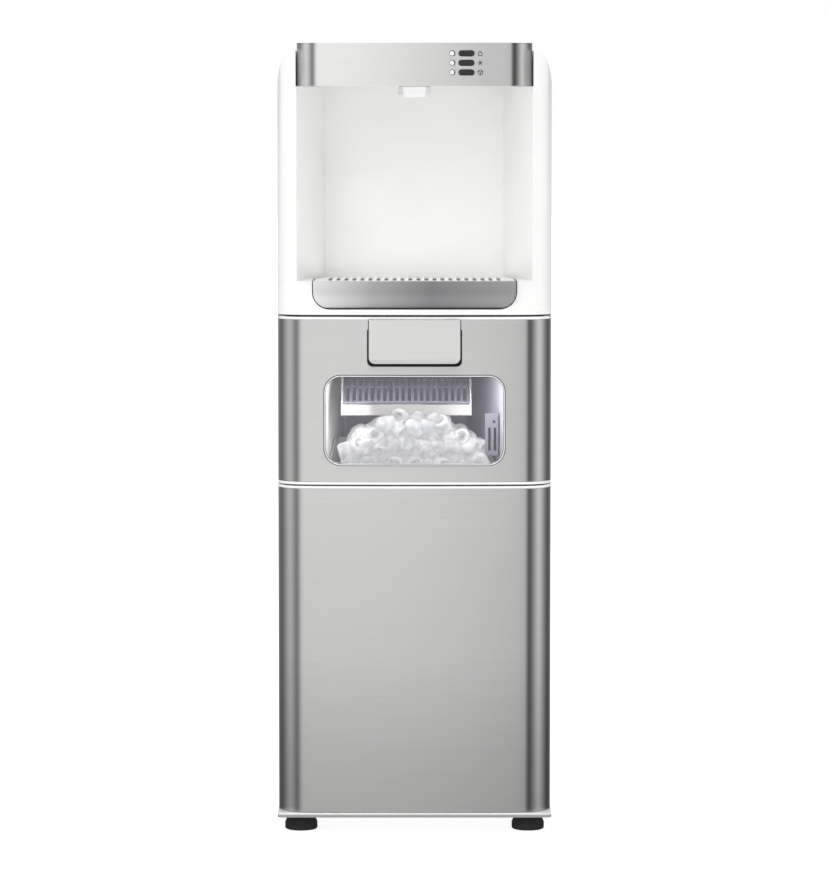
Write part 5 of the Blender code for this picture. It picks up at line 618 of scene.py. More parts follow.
# %% Pull tab
TAB_CORNER, TAB_LIP = 8 * MM, 2.4 * MM
tab_half, tab_wall, tab_foot = POCKET_HALF - 2.2 * MM, 2.4 * MM, TAB_LOW[2] + 4 * MM
nose_y, nose_z, lip_y, tab_top = TAB_LOW[1], tab_foot + 5 * MM, FRONT - TAB_LIP, TAB_HIGH[2]
wedge = [(TAB_HIGH[1], tab_top), (lip_y, tab_top), (nose_y, nose_z), (nose_y, tab_foot),
         (TAB_HIGH[1], tab_foot)]
tab = prism("pull_tab", wedge, -tab_half, tab_half, "X")
tab_outline = round_box(-tab_half, tab_half, tab_foot, tab_top + OVER, (TAB_CORNER, TAB_CORNER, 0, 0))
carve(tab, prism("tab_front", tab_outline, nose_y - OVER, FRONT + OVER, "Y"), how="INTERSECT")
slope = (lip_y - nose_y) / (tab_top - nose_z)
hollow_top, hollow_low, hollow_front = tab_top - 14 * MM, TAB_LOW[2] - OVER, nose_y + tab_wall
hollow = [(FRONT + OVER, hollow_top), (hollow_front + slope * (hollow_top - nose_z), hollow_top),
          (hollow_front, nose_z), (hollow_front, hollow_low), (FRONT + OVER, hollow_low)]
carve(tab, prism("tab_hollow", hollow, tab_wall - tab_half, tab_half - tab_wall, "X"))
finish(tab, "ice_door", TAB_STEEL, ["door_tab"], 1.6 * MM)

# %% [markdown]
# Behind the tab is a finger pocket, moulded in black so that the gap round the tab reads as a dark
# line: the lining is the pocket's own colour and a painted shadow in that gap. It is an open tray: the
# pocket's outline, less a smaller copy of it cut in from the front. Above it, two dark bars of
# painted shadow fill the gaps beside the tab.

# %% Finger pocket
LINING, LINING_GAP = 1.2 * MM, 0.2 * MM
pocket_front, pocket_back = FRONT + 1.6 * MM, FRONT + 14.6 * MM
lining = prism("pocket_lining", pocket_outline(LINING_GAP), pocket_front, pocket_back, "Y")
carve(lining, prism("pocket_inside", pocket_outline(LINING_GAP + LINING), pocket_front - OVER,
                    pocket_back - LINING, "Y"))


def painted_shadow_bar(left, right):
    """A dark bar of painted shadow beside the tab, from the pocket's top to just under the leaf's."""
    outline = round_box(left, right, POCKET_TOP - MM, LEAF_TOP - MM, (0,) * 4)
    return prism("painted_shadow_bar", outline, bow(tab_half) - 0.35 * MM, FRONT + 4 * MM, "Y")


bar_start, bar_end = tab_half - 0.1 * MM, POCKET_HALF - MM
finish(merge("tab_pocket_and_shadow_bars", lining, painted_shadow_bar(-bar_end, -bar_start), painted_shadow_bar(bar_start, bar_end)),
       "ice_door", BLACK_PLASTIC)

# %% [markdown]
# The upper housing is one white moulding. Seen from above it has the front path's corners, and
# seen from the front its shoulders are quarter ellipses, so it is the overlap of two prisms. The
# bay, the slot for the head and the drip drawer's recess are then cut out of it, and a fine groove
# runs round it just under the deck. Inside, it is a shell: what is hollowed out is a smaller
# housing, less a wall's thickness round each of those cuts.

# %% Upper housing
SHOULDER = (21 * MM, 50 * MM)
BAY_MOUTH, BAY_END, BAY_BACK = 157.5 * MM, 121 * MM, -28 * MM
BAY_SLOPE = (BAY_MOUTH - BAY_END) / (BAY_BACK - FRONT)
HEAD_BACK = FRONT + 118 * MM
WALL = 3 * MM
DRAWER_HALF, DRAWER_LOW, DRAWER_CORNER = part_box("drip_fascia")[1][0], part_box("drip_fascia")[0][2], 23 * MM
DRAWER_BACK, DRAWER_REAR_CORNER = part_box("drip_basin")[1][1], 14 * MM
DRAWER_GAP, DRAWER_PLAY = 0.6 * MM, 2 * MM
FOOT_FLANGE, TOP_FLANGE, TOP_SIDE, TOP_LIP = 3.6 * MM, 6 * MM, 12 * MM, 3.3 * MM
GROOVE_LOW, GROOVE_TOP, GROOVE_DEPTH = DECK - 2.4 * MM, DECK - 1.5 * MM, 0.5 * MM
GROOVE_END = HOUSING_BACK - 20 * MM


def shoulder_outline(inset, spread):
    """The front view: straight sides, then a quarter ellipse at each shoulder."""
    cx, cz = HALF - SHOULDER[0], HOUSING_TOP - SHOULDER[1]
    right = arc((cx, cz), (SHOULDER[0] - inset, SHOULDER[1] - inset), 0, 90, 28)
    half = np.vstack(([(HALF + spread, HOUSING_LOW - OVER), (HALF + spread, cz)], right))
    return np.vstack((half, half[::-1] * (-1, 1)))


def housing_plan(inset, back):
    """The front path closed by a straight back."""
    return np.vstack((front_path(HALF, CORNER_RADIUS, inset), [(HALF - inset, back), (inset - HALF, back)]))


def drawer_tool(name, growth, top, start, end):
    """The drip drawer's front view, a U with round corners, as a cutter."""
    half, corner = DRAWER_HALF + growth, DRAWER_CORNER + growth
    return prism(name, round_box(-half, half, DRAWER_LOW - growth, top, (corner, corner, 0, 0)), start, end,
                 "Y")


housing = prism("upper_moulding", housing_plan(0, HOUSING_BACK), HOUSING_LOW, HOUSING_TOP)
carve(housing, prism("shoulders", shoulder_outline(0, OVER), FRONT - OVER, HOUSING_BACK + OVER, "Y"),
      how="INTERSECT")
inside = prism("housing_inside", housing_plan(WALL, HOUSING_BACK + OVER), HOUSING_LOW + FOOT_FLANGE,
               HOUSING_TOP - WALL)
carve(inside, prism("inner_shoulders", shoulder_outline(WALL, OVER), FRONT - OVER, HOUSING_BACK + 2 * OVER,
                    "Y"), how="INTERSECT")


def bay_plan(growth, front):
    """The bay in plan: a wide mouth and a narrower back wall."""
    mouth = BAY_MOUTH + growth + BAY_SLOPE * (FRONT - front)
    back = BAY_END + growth
    return [(-mouth, front), (mouth, front), (back, BAY_BACK + growth), (-back, BAY_BACK + growth)]


slot_half = HEAD_HALF + SHEET


def head_tool(name, growth, front, low, high):
    """The slot that the control head slides into, as a cutter."""
    half = slot_half + growth
    return prism(name, round_box(-half, half, front, HEAD_BACK + max(growth, GAP), (0,) * 4), low, high)


carve(inside,
      prism("bay_shell", bay_plan(WALL, FRONT - OVER), DECK - WALL, HEAD_LOW + WALL),
      head_tool("head_shell", WALL, FRONT - OVER, HEAD_LOW - WALL, HOUSING_TOP + OVER),
      drawer_tool("drawer_shell", WALL, DECK + OVER, FRONT - OVER, DRAWER_BACK + WALL))


def drawer_plan(growth, front, spread):
    """The drawer in plan: straight sides, then sides that draw in with the bay's walls to round corners."""
    half, corner = DRAWER_HALF + growth, DRAWER_REAR_CORNER + growth
    back = DRAWER_BACK + growth
    bend = FRONT + (BAY_MOUTH - DRAWER_PLAY - DRAWER_HALF) / BAY_SLOPE
    rear = half - BAY_SLOPE * (back - corner - bend)
    right = np.vstack(([(half + spread, front), (half + spread, bend - spread / BAY_SLOPE)],
                       arc((rear - corner, back - corner), (corner, corner), 0, 90, 12)))
    return np.vstack((right, right[::-1] * (-1, 1)))


groove = prism("groove", housing_plan(-MM, GROOVE_END), GROOVE_LOW, GROOVE_TOP)
carve(groove, prism("groove_core", housing_plan(GROOVE_DEPTH, HOUSING_BACK + OVER), GROOVE_LOW - OVER,
                    GROOVE_TOP + OVER))
recess = drawer_tool("drawer_recess", DRAWER_GAP, DECK + OVER, FRONT - 2 * OVER, DRAWER_BACK + 2 * OVER)
carve(recess, prism("recess_plan", drawer_plan(DRAWER_GAP, FRONT - 3 * OVER, OVER), HOUSING_LOW - OVER,
                    DECK + 2 * OVER), how="INTERSECT")
top_half = HEAD_HALF - TOP_SIDE
top_hole = round_box(-top_half, top_half, HEAD_BACK + TOP_LIP, HOUSING_BACK + 2 * OVER, (0,) * 4)
carve(housing, inside,
      prism("bay", bay_plan(0, FRONT - 2 * OVER), DECK, HEAD_LOW),
      head_tool("head_slot", 0, FRONT - 2 * OVER, HEAD_LOW - GAP, HOUSING_TOP + 2 * OVER),
      prism("top_hole", top_hole, HOUSING_TOP - TOP_FLANGE, HOUSING_TOP + OVER),
      recess, groove)
finish(housing, "cabinet", WHITE_ABS, ["upper_housing"], 0.8 * MM)

# %% [markdown]
# The control head is a white box behind a band of brushed steel. The band follows the same bow,
# with tighter corners, and is pierced for three buttons and three lamps.

# %% Control band
BUTTONS = ("heating_button", "cooling_button", "ice_button")
ROWS = [(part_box(name)[0][2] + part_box(name)[1][2]) / 2 for name in BUTTONS]
BUTTON_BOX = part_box("heating_button")
BUTTON_X = (BUTTON_BOX[0][0] + BUTTON_BOX[1][0]) / 2
BUTTON_HALF = (BUTTON_BOX[1][0] - BUTTON_BOX[0][0]) / 2
BUTTON_RISE = (BUTTON_BOX[1][2] - BUTTON_BOX[0][2]) / 2
LENS_X, LENS_RADIUS = 49.9 * MM, 3.4 * MM


def capsule(x, z, half, rise):
    """A slot with half-round ends."""
    return round_box(x - half, x + half, z - rise, z + rise, (rise * 0.98,) * 4, 10)


def disc(x, z, radius, sides=32):
    """A circle's outline: centre plus radius times cosine and sine."""
    return arc((x, z), (radius,) * 2, 0, 360, sides)[:-1]


band_outer = front_path(HEAD_HALF, HEAD_CORNER, 0)
band_inner = front_path(HEAD_HALF, HEAD_CORNER, SHEET)
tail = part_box("control_fascia")[1][1]
band_outer = np.vstack(([(-HEAD_HALF, tail)], band_outer, [(HEAD_HALF, tail)]))
band_inner = np.vstack(([(SHEET - HEAD_HALF, tail)], band_inner, [(HEAD_HALF - SHEET, tail)]))
band = prism("control_band", np.vstack((band_outer, band_inner[::-1])), HEAD_LOW, HEAD_TOP)
for i, z in enumerate(ROWS):
    hole = prism(f"button_hole_{i}", capsule(BUTTON_X, z, BUTTON_HALF + 2 * GAP, BUTTON_RISE + 2 * GAP),
                 FRONT - OVER, FRONT + 2 * OVER, "Y")
    lamp_hole = prism(f"lamp_hole_{i}", disc(LENS_X, z, LENS_RADIUS + GAP), FRONT - OVER,
                      FRONT + 2 * OVER, "Y")
    carve(band, hole, lamp_hole)
finish(band, "cabinet", HEAD_STEEL, ["control_fascia"], 0.3 * MM)

# %% [markdown]
# Each button is a dark capsule, a little proud of the band, and each lamp is a round lens on a
# light guide behind it. The lens sits a little left of a dark disc, which shows as a thin crescent
# of painted shade on its right.

# %% Buttons and lamps
LAMP_WHITE = moulded("frosted_lamp_lens", "#F4F4F2", "#EFEFED", 1.0 * MM, 0.3)
for name, z in zip(BUTTONS, ROWS):
    low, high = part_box(name)
    finish(prism(f"{name}_cap", capsule(BUTTON_X, z, BUTTON_HALF, BUTTON_RISE), low[1], high[1], "Y"),
           name, BUTTON_PLASTIC, [name], 0.7 * MM)
guide_low, guide_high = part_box("light_guide")
guide_front, guide_back, glass_radius, glass_x = guide_low[1], guide_high[1], 2.9 * MM, LENS_X - 0.5 * MM
strip = prism("guide_strip", round_box(guide_low[0], guide_high[0], guide_low[2], guide_high[2], (MM,) * 4),
              guide_back - 2 * MM, guide_back, "Y")
lenses = [prism(f"lens_{i}", disc(glass_x, z, glass_radius), guide_front, guide_back - MM, "Y")
          for i, z in enumerate(ROWS)]
finish(merge("lamp_guide", strip, *lenses), "cabinet", LAMP_WHITE, ["light_guide"], 0.3 * MM)
# A dark disc behind each lens, off its centre: a crescent of painted shade.
shade_crescents = [prism(f"crescent_shade_{i}", disc(LENS_X, z, LENS_RADIUS), guide_front + 0.5 * MM, guide_back - 1.5 * MM,
                 "Y") for i, z in enumerate(ROWS)]
finish(merge("lamp_shade_crescents", *shade_crescents), "cabinet", BLACK_PLASTIC)

# %% [markdown]
# To the right of each button is a small printed mark instead of words: a flame for heating, a
# snowflake for cooling and a cube for ice. Each is made of thin bars on the band's surface.

# %% Printed marks
MARK_X = BUTTON_X + BUTTON_HALF + 8 * MM
MARK_UNIT, MARK_RADIUS, MARK_LINE = 1.3 * MM, 2.7, 0.9 * MM
INK = moulded("printed_dark_ink", "#242426", "#1F1F21", 0.5 * MM, 0.5)


def bars(name, x, z, ends, width):
    """Flat bars between pairs of points: each is its middle line widened to both sides, 0.1 mm thick."""
    ends = np.asarray(ends, float) * MARK_UNIT
    along = ends[:, 1] - ends[:, 0]
    side = np.column_stack((-along[:, 1], along[:, 0])) / np.linalg.norm(along, axis=1)[:, None] * width / 2
    flat = np.stack((ends[:, 0] - side, ends[:, 1] - side, ends[:, 1] + side, ends[:, 0] + side),
                    axis=1) + (x, z)
    front = np.stack((flat[..., 0], bow(flat[..., 0]) - 0.04 * MM, flat[..., 1]), axis=-1)
    rear = front + (0, 0.1 * MM, 0)
    points = np.concatenate((front, rear), axis=1).reshape(-1, 3)
    box = np.array([(0, 1, 2, 3), (7, 6, 5, 4), (0, 4, 5, 1), (1, 5, 6, 2), (2, 6, 7, 3), (3, 7, 4, 0)])
    faces = (box[None] + 8 * np.arange(len(ends))[:, None, None]).reshape(-1, 4)
    return mesh_piece(name, points, faces)


def ring_of(corners, radius, start):
    """The sides of a regular outline as pairs of points."""
    outline = arc((0, 0), (radius,) * 2, start, start + 360, corners)
    return np.stack((outline[:-1], outline[1:]), axis=1)


spokes = np.stack([arc((0, 0), (MARK_RADIUS,) * 2, start, start + 120, 2) for start in (0, 180)], axis=1)
tips = np.array([(-1.6, -2.4), (-2.0, -0.4), (-0.4, 2.6), (0.3, 0.8), (1.1, 1.5), (2.0, -0.6), (1.5, -2.4)])
flame = np.stack((tips, np.roll(tips, -1, axis=0)), axis=1)
cube = np.concatenate((ring_of(6, MARK_RADIUS, 30),
                       [[(0, 0), (0, -MARK_RADIUS)], [(0, 0), (2.3, 1.35)], [(0, 0), (-2.3, 1.35)]]))
for name, z, lines in zip(("flame_mark", "snowflake_mark", "cube_mark"), ROWS, (flame, spokes, cube)):
    finish(bars(name, MARK_X, z, lines, MARK_LINE), "cabinet", INK)

# %% [markdown]
# The nozzle is a rounded block that narrows downwards, with a short round spout below it and a
# shallow collar where it meets the head, drawn pale grey as painted shade.

# %% Nozzle
NOZZLE_LOW, NOZZLE_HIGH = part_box("nozzle_shroud")
nozzle_y = (NOZZLE_LOW[1] + NOZZLE_HIGH[1]) / 2
top_z, bottom_z, spout_z = HEAD_LOW - GAP, HEAD_LOW - GAP - 14.2 * MM, NOZZLE_LOW[2]
SPOUT_BORE, SPOUT_RADIUS, COLLAR_HALF, COLLAR_DEPTH = 6 * MM, 10.5 * MM, 21.6 * MM, 11 * MM
levels = np.linspace(0, 1, 10)
block_outline = round_box(-16 * MM, 16 * MM, -21 * MM, 14 * MM, (4 * MM,) * 4, 8)
shrink = 0.9 + 0.1 * levels ** 0.35
shell = np.concatenate([np.column_stack((block_outline * s, np.full(len(block_outline), z)))
                        for s, z in zip(shrink, bottom_z + (top_z - bottom_z) * levels)])
n = len(block_outline)
block = mesh_piece("block", shell + np.array((0, nozzle_y, 0)),
                   [*grid_faces(len(levels), n), np.arange(n)[::-1], np.arange(n) + n * (len(levels) - 1)])
collar_outline = round_box(-COLLAR_HALF, COLLAR_HALF, nozzle_y - 16 * MM, nozzle_y + 21 * MM,
                           (5 * MM,) * 4, 8)
collar = prism("nozzle_collar", collar_outline, top_z - COLLAR_DEPTH, top_z)
finish(collar, "cabinet", COLLAR_PAINTED_SHADE, edge=0.8 * MM)
spout_top, spout_edge = bottom_z + 2 * MM, SPOUT_RADIUS - 0.5 * MM
spout = lathe("spout", [(SPOUT_BORE, spout_z), (spout_edge, spout_z), (SPOUT_RADIUS, spout_z + MM),
                        (SPOUT_RADIUS, spout_top), (SPOUT_BORE, spout_top)], (0, nozzle_y, 0), 48,
              closed=True)
finish(merge("dispensing_nozzle", block, spout), "cabinet", WHITE_ABS, ["nozzle_shroud"],
       0.6 * MM)

# %% [markdown]
# The drip drawer has a silver-painted front that is round below and rolls under, with painted
# light and shade that make it lighter at its left end, a dark plate behind it that shows round it as a
# thin line of painted shadow, a grey basin, and a grille of narrow slots that lifts out.

# %% Drip drawer
FASCIA_LOW, FASCIA_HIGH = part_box("drip_fascia")


def sprayed_silver(left, right):
    """Silver paint with painted light and shade by a ramp over x: lighter at the left end, darkest right of
    the middle.
    """
    made, tree, shader, place = blank("silver_paint_painted_light_and_shade")
    across = share_along(tree, place, "X", left, right)
    tone = add(tree, "ShaderNodeValToRGB", links={"Fac": across},
               stops=[(0.0, linear("#E4E4E4")), (0.3, linear("#A8A8A8")), (0.58, linear("#828284")),
                      (1.0, linear("#9B9B9C"))])
    flake = add(tree, "ShaderNodeTexNoise", {"Scale": 1 / (0.6 * MM), "Detail": 2.0}, {"Vector": place})
    dress(tree, shader, tone.outputs["Color"], flake.outputs["Fac"], 0.15, 0.01 * MM)
    set_values(shader, Metallic=0.35, Roughness=0.34)
    return made


SILVER_PAINT = sprayed_silver(FASCIA_LOW[0], FASCIA_HIGH[0])
ROLL_RADIUS, ROLL_TOP, ROLL_Y = 14 * MM, 2.4 * MM, FRONT + 9 * MM
roll_height = FASCIA_HIGH[2] - FASCIA_LOW[2] - ROLL_TOP
roll = arc((ROLL_Y, DECK - ROLL_TOP), (ROLL_RADIUS, roll_height), 180, 270, 24)
side_view = np.vstack(([(FASCIA_HIGH[1], DECK), (FASCIA_LOW[1], DECK)], roll,
                       [(FASCIA_HIGH[1], FASCIA_LOW[2])]))
# A dark plate just behind the front: painted shadow in the gap round it.
gap_shadow_plate = drawer_tool("drawer_shadow_plate", -0.05 * MM, DECK - 0.6 * MM, FRONT + 5 * MM, FRONT + 6.5 * MM)
finish(gap_shadow_plate, "drip_tray", MOTOR_PLASTIC)
drawer_front = prism("drawer_front", side_view, -DRAWER_HALF - OVER, DRAWER_HALF + OVER, "X")
carve(drawer_front,
      drawer_tool("drawer_outline", -0.9 * MM, DECK + OVER, FRONT - 2 * OVER, FASCIA_HIGH[1] + OVER),
      how="INTERSECT")
finish(drawer_front, "drip_tray", SILVER_PAINT, ["drip_fascia"], 1.1 * MM)

# %% [markdown]
# Four rubber feet stand under the corners: a round pad, a neck that narrows upwards and a stem.

# %% Feet
EDGE_ROUND, PAD_TOP, STEM = 2.3 * MM, 9.3 * MM, 4 * MM
NECK, NECK_TOP, NECK_ROUND = 17.4 * MM, 19 * MM, 0.4 * MM
shoulder_z = NECK_TOP + 0.7 * MM
for name in ("front_left_foot", "front_right_foot", "rear_left_foot", "rear_right_foot"):
    low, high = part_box(name)
    centre = ((low[0] + high[0]) / 2, (low[1] + high[1]) / 2, 0)
    pad, top = (high[0] - low[0]) / 2, high[2]
    profile = np.vstack(([(0, 0), (pad - EDGE_ROUND, 0)],
                         arc((pad - EDGE_ROUND, EDGE_ROUND), (EDGE_ROUND,) * 2, -90, 0, 6),
                         [(pad, PAD_TOP), (NECK, NECK_TOP), (NECK - NECK_ROUND, shoulder_z),
                          (STEM, shoulder_z), (STEM, top), (0, top)]))
    body = name if name.startswith("front") else "cabinet"
    finish(lathe(f"{name}_pad", profile, centre, 56), body, BLACK_RUBBER, [name], 0.3 * MM)

# %% [markdown]
# The bottle seat is a turned moulding: a flat rim, a wide dish for the bottle's shoulder and a
# well with a feed probe in the middle.

# %% Bottle seat and top buttons
SEAT_LOW, SEAT_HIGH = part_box("bottle_seat")
seat_centre = ((SEAT_LOW[0] + SEAT_HIGH[0]) / 2, (SEAT_LOW[1] + SEAT_HIGH[1]) / 2, 0)
top, bottom = SEAT_HIGH[2], SEAT_LOW[2]
floor_z, neck_z, probe_z = bottom + 3 * MM, top - 20 * MM, bottom + 22 * MM
BORE, PROBE, WELL, DISH, SEAT_RIM, SEAT_EDGE = 2.5 * MM, 7 * MM, 33 * MM, 92 * MM, 98 * MM, 106 * MM
FLANGE = 1.6 * MM
slant = np.column_stack((np.linspace(WELL, DISH, 14), np.linspace(neck_z, top - FLANGE, 14)))
profile = np.vstack(([(BORE, probe_z + 7 * MM), (BORE + MM, probe_z + 7 * MM), (PROBE, probe_z),
                      (PROBE, floor_z), (WELL, floor_z)], slant,
                     [(SEAT_RIM, top), (SEAT_EDGE, top), (SEAT_EDGE, top - FLANGE),
                      (SEAT_RIM, top - FLANGE), (SEAT_RIM, top - FLANGE - 6 * MM),
                      (WELL + 3 * MM, neck_z - 3 * MM), (WELL + 3 * MM, bottom), (BORE, bottom)]))
finish(lathe("bottle_cradle", profile, seat_centre, 96, closed=True), "cabinet", WHITE_ABS, ["bottle_seat"],
       0.5 * MM)
CAP_RADIUS, CAP_ROUND, CAP_FLANGE = 15 * MM, 1.2 * MM, 2 * MM
for name in ("hot_water_button", "cold_water_button"):
    low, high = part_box(name)
    centre = ((low[0] + high[0]) / 2, (low[1] + high[1]) / 2, 0)
    flange_top, flange_edge = low[2] + CAP_FLANGE, CAP_RADIUS + CAP_FLANGE
    crown = arc((CAP_RADIUS - CAP_ROUND, high[2] - CAP_ROUND), (CAP_ROUND,) * 2, 90, 0, 5)
    flange = [(CAP_RADIUS, flange_top), (flange_edge, flange_top), (flange_edge, low[2]), (0, low[2])]
    profile = np.vstack(([(0, high[2])], crown, flange))
    finish(lathe(f"{name}_cap", profile, centre, 56), name, WHITE_ABS, [name])

# %% [markdown]
# The ice is a heap of hollow bullets, the shape that freezes round each cold finger. One bullet is
# a turned profile with a domed end and a hollow core. Copies of it are turned and placed in
# layers over the basket's floor, under a heap line that is highest in the middle.

# %% Ice heap
BASKET_LOW, BASKET_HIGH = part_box("ice_basket")
heap_floor = BASKET_LOW[2] + 2.4 * MM
ACROSS, DEEP, LAYER, JITTER, BULLET_RADIUS, BULLET_SIDES = 19 * MM, 18 * MM, 12 * MM, 4 * MM, 11.5 * MM, 16


def bullet_arrays():
    """One bullet as points and faces, centred at its middle: radius 11.5 mm, 25 mm long."""
    outside = np.vstack(([(0, 12.5 * MM)], arc((0, 4 * MM), (BULLET_RADIUS, 8.5 * MM), 80, 0, 7),
                         [(11 * MM, -9 * MM)], arc((8.6 * MM, -9.5 * MM), (2.4 * MM, 3 * MM), 0, -180, 6),
                         [(4.6 * MM, -8 * MM), (3.2 * MM, 2 * MM), (0, 3 * MM)]))
    t = np.linspace(0, 2 * math.pi, BULLET_SIDES, endpoint=False)
    r, h = outside.T[:, :, None]
    points = np.stack((r * np.cos(t), r * np.sin(t), h + 0 * t), axis=-1).reshape(-1, 3)
    return points, grid_faces(len(outside), BULLET_SIDES)


def heap_places(rng):
    """Centres in layers 12 mm apart, each a grid of 19 by 18 mm and every second one shifted.

    Each place is moved at random by up to 4 mm. It is kept if it lies inside the basket's walls, which
    draw in towards the back, and below the heap line h = 20 mm + 58 mm * exp(-((x + 5 mm) / 78 mm) ** 2).
    """
    x, y, z = np.meshgrid(np.arange(-6, 7), np.arange(-2, 4), np.arange(7), indexing="ij")
    x, y, z = (a.ravel().astype(float) for a in (x, y, z))
    px = x * ACROSS + (z % 2) * 9 * MM - 4 * MM
    py = y * DEEP - 84 * MM + (z % 2) * 8 * MM
    pz = heap_floor + 11 * MM + z * LAYER
    places = np.column_stack((px, py, pz)) + rng.uniform(-JITTER, JITTER, (len(px), 3))
    px, py, pz = places.T
    line = heap_floor + 20 * MM + 58 * MM * np.exp(-((px + 5 * MM) / (78 * MM)) ** 2)
    share = (py - BASKET_LOW[1]) / (BASKET_HIGH[1] - BASKET_LOW[1])
    keep = (pz < line) & (np.abs(px + 3 * MM * share) < 96 * MM - 16 * MM * share)
    keep &= (py > BASKET_LOW[1] + 13 * MM) & (py < BASKET_HIGH[1] - 13 * MM)
    return places[keep]


def turned_by(angles):
    """Rotation matrices from three angles, one matrix for each row."""
    (ca, cb, cc), (sa, sb, sc) = np.cos(angles.T), np.sin(angles.T)
    zero, one = np.zeros_like(ca), np.ones_like(ca)
    about_z = np.array([[ca, -sa, zero], [sa, ca, zero], [zero, zero, one]])
    about_y = np.array([[cb, zero, sb], [zero, one, zero], [-sb, zero, cb]])
    about_x = np.array([[one, zero, zero], [zero, cc, -sc], [zero, sc, cc]])
    return np.einsum("ijn,jkn,kln->nil", about_z, about_y, about_x)


rng = np.random.default_rng(12)
places = heap_places(rng)
turns = turned_by(rng.uniform(0, 2 * math.pi, (len(places), 3)))
bullet, bullet_faces = bullet_arrays()
heap_points = (np.einsum("nij,pj->npi", turns, bullet) + places[:, None, :]).reshape(-1, 3)
offsets = np.arange(len(places))[:, None, None] * len(bullet)
heap_faces = (bullet_faces[None] + offsets).reshape(-1, 4)
finish(mesh_piece("bullet_ice", heap_points, heap_faces), "cabinet", ICE)
print(len(places), "bullets")

# %% [markdown]
# On the compartment's right wall is the cover of the full-basket sensor: a shallow wedge in the
# chute's painted shade, with black patches of painted shadow for its small lens hole and two upright
# slots.

# %% Sensor cover
cover_y, cover_low, cover_top = FRONT + 62 * MM, 499 * MM, 556 * MM
mark_front, mark_back, mark_low, mark_top = cover_y - 0.2 * MM, cover_y + 0.6 * MM, 506 * MM, 537 * MM
cover_plan = [(94 * MM, cover_y), (113 * MM, cover_y), (106 * MM, cover_y + 28 * MM)]
cover = prism("sensor_wedge", cover_plan, cover_low, cover_top)
finish(cover, "cabinet", CHUTE_PAINTED_SHADE, edge=1.2 * MM)
marks = [prism(f"slot_{i}", round_box(x, x + 3.4 * MM, mark_low, mark_top, (0.8 * MM,) * 4, 4), mark_front,
               mark_back, "Y") for i, x in enumerate((98.8 * MM, 106.2 * MM))]
eye = prism("sensor_eye", disc(106.5 * MM, 545 * MM, 2 * MM, 20), mark_front, mark_back, "Y")
finish(merge("sensor_painted_shadows", *marks, eye), "cabinet", BLACK_PLASTIC)

# %% [markdown]
# The other CAD pieces are flat sheets, boxes and plain turned parts. They stay, with their edges
# welded and softened, and each gets the finish of what it is made of. The base, the ice maker, its
# chute and the liner carry painted shade in theirs, and the liner painted light as well.

# %% Finishes for the CAD pieces
KEPT = {
    WHITE_ABS: ["top_cover", "drip_grille", "valve_block"],
    TRAY_GREY: ["drip_basin"],
    BASE_MOULDING_PAINTED_SHADE: ["base_tray"],
    LINER_PAINTED_LIGHT: ["ice_liner"],
    MAKER_PAINTED_SHADE: ["ice_basket", "ice_maker_frame"],
    CHUTE_PAINTED_SHADE: ["ice_chute", "water_tray"],
    COATED_SHEET: ["left_side_panel", "right_side_panel", "rear_panel", "side_vent_grille"],
    BLACK_PLASTIC: ["power_inlet", "bin_full_sensor", "condenser_fan"],
    MOTOR_PLASTIC: ["fan_shroud", "tray_motor", "water_pump"],
    GASKET_RUBBER: ["door_gasket"],
    GALVANISED: ["hinge_sill", "lower_shelf", "upper_shelf"],
    DRAWN_STEEL: ["hinge_rod", "evaporator", "cold_tank", "hot_tank"],
    COPPER: ["condenser_coil", "refrigerant_line"],
    SILICONE: ["cold_hose", "hot_hose", "tray_fill_hose", "water_reservoir"],
    FOAM: ["cold_tank_jacket"],
    CIRCUIT: ["control_board", "power_board"],
    BLACK_PAINT: ["compressor"],
}
WELD_REACH = 0.01 * MM
for look, names in KEPT.items():
    for name in names:
        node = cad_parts[name]
        node.data.materials.clear()
        node.data.materials.append(look)
        weld = node.modifiers.new("welded", "WELD")
        weld.merge_threshold = WELD_REACH
        soften(node, 0.3 * MM, 1)
        node.modifiers["softened_edges"].harden_normals = False

# %% [markdown]
# The stage is a plain white floor in a white room, as in a product photograph. What the steel
# mirrors is the room: a bright card in front, two dark gaps beside it, paler walls at the sides, a
# dark band a little below the horizon and a white ceiling. The sky gives each direction its level,
# by its turn about the upright axis and by its height, and stays white where the camera looks
# straight at it.

# %% Room and floor


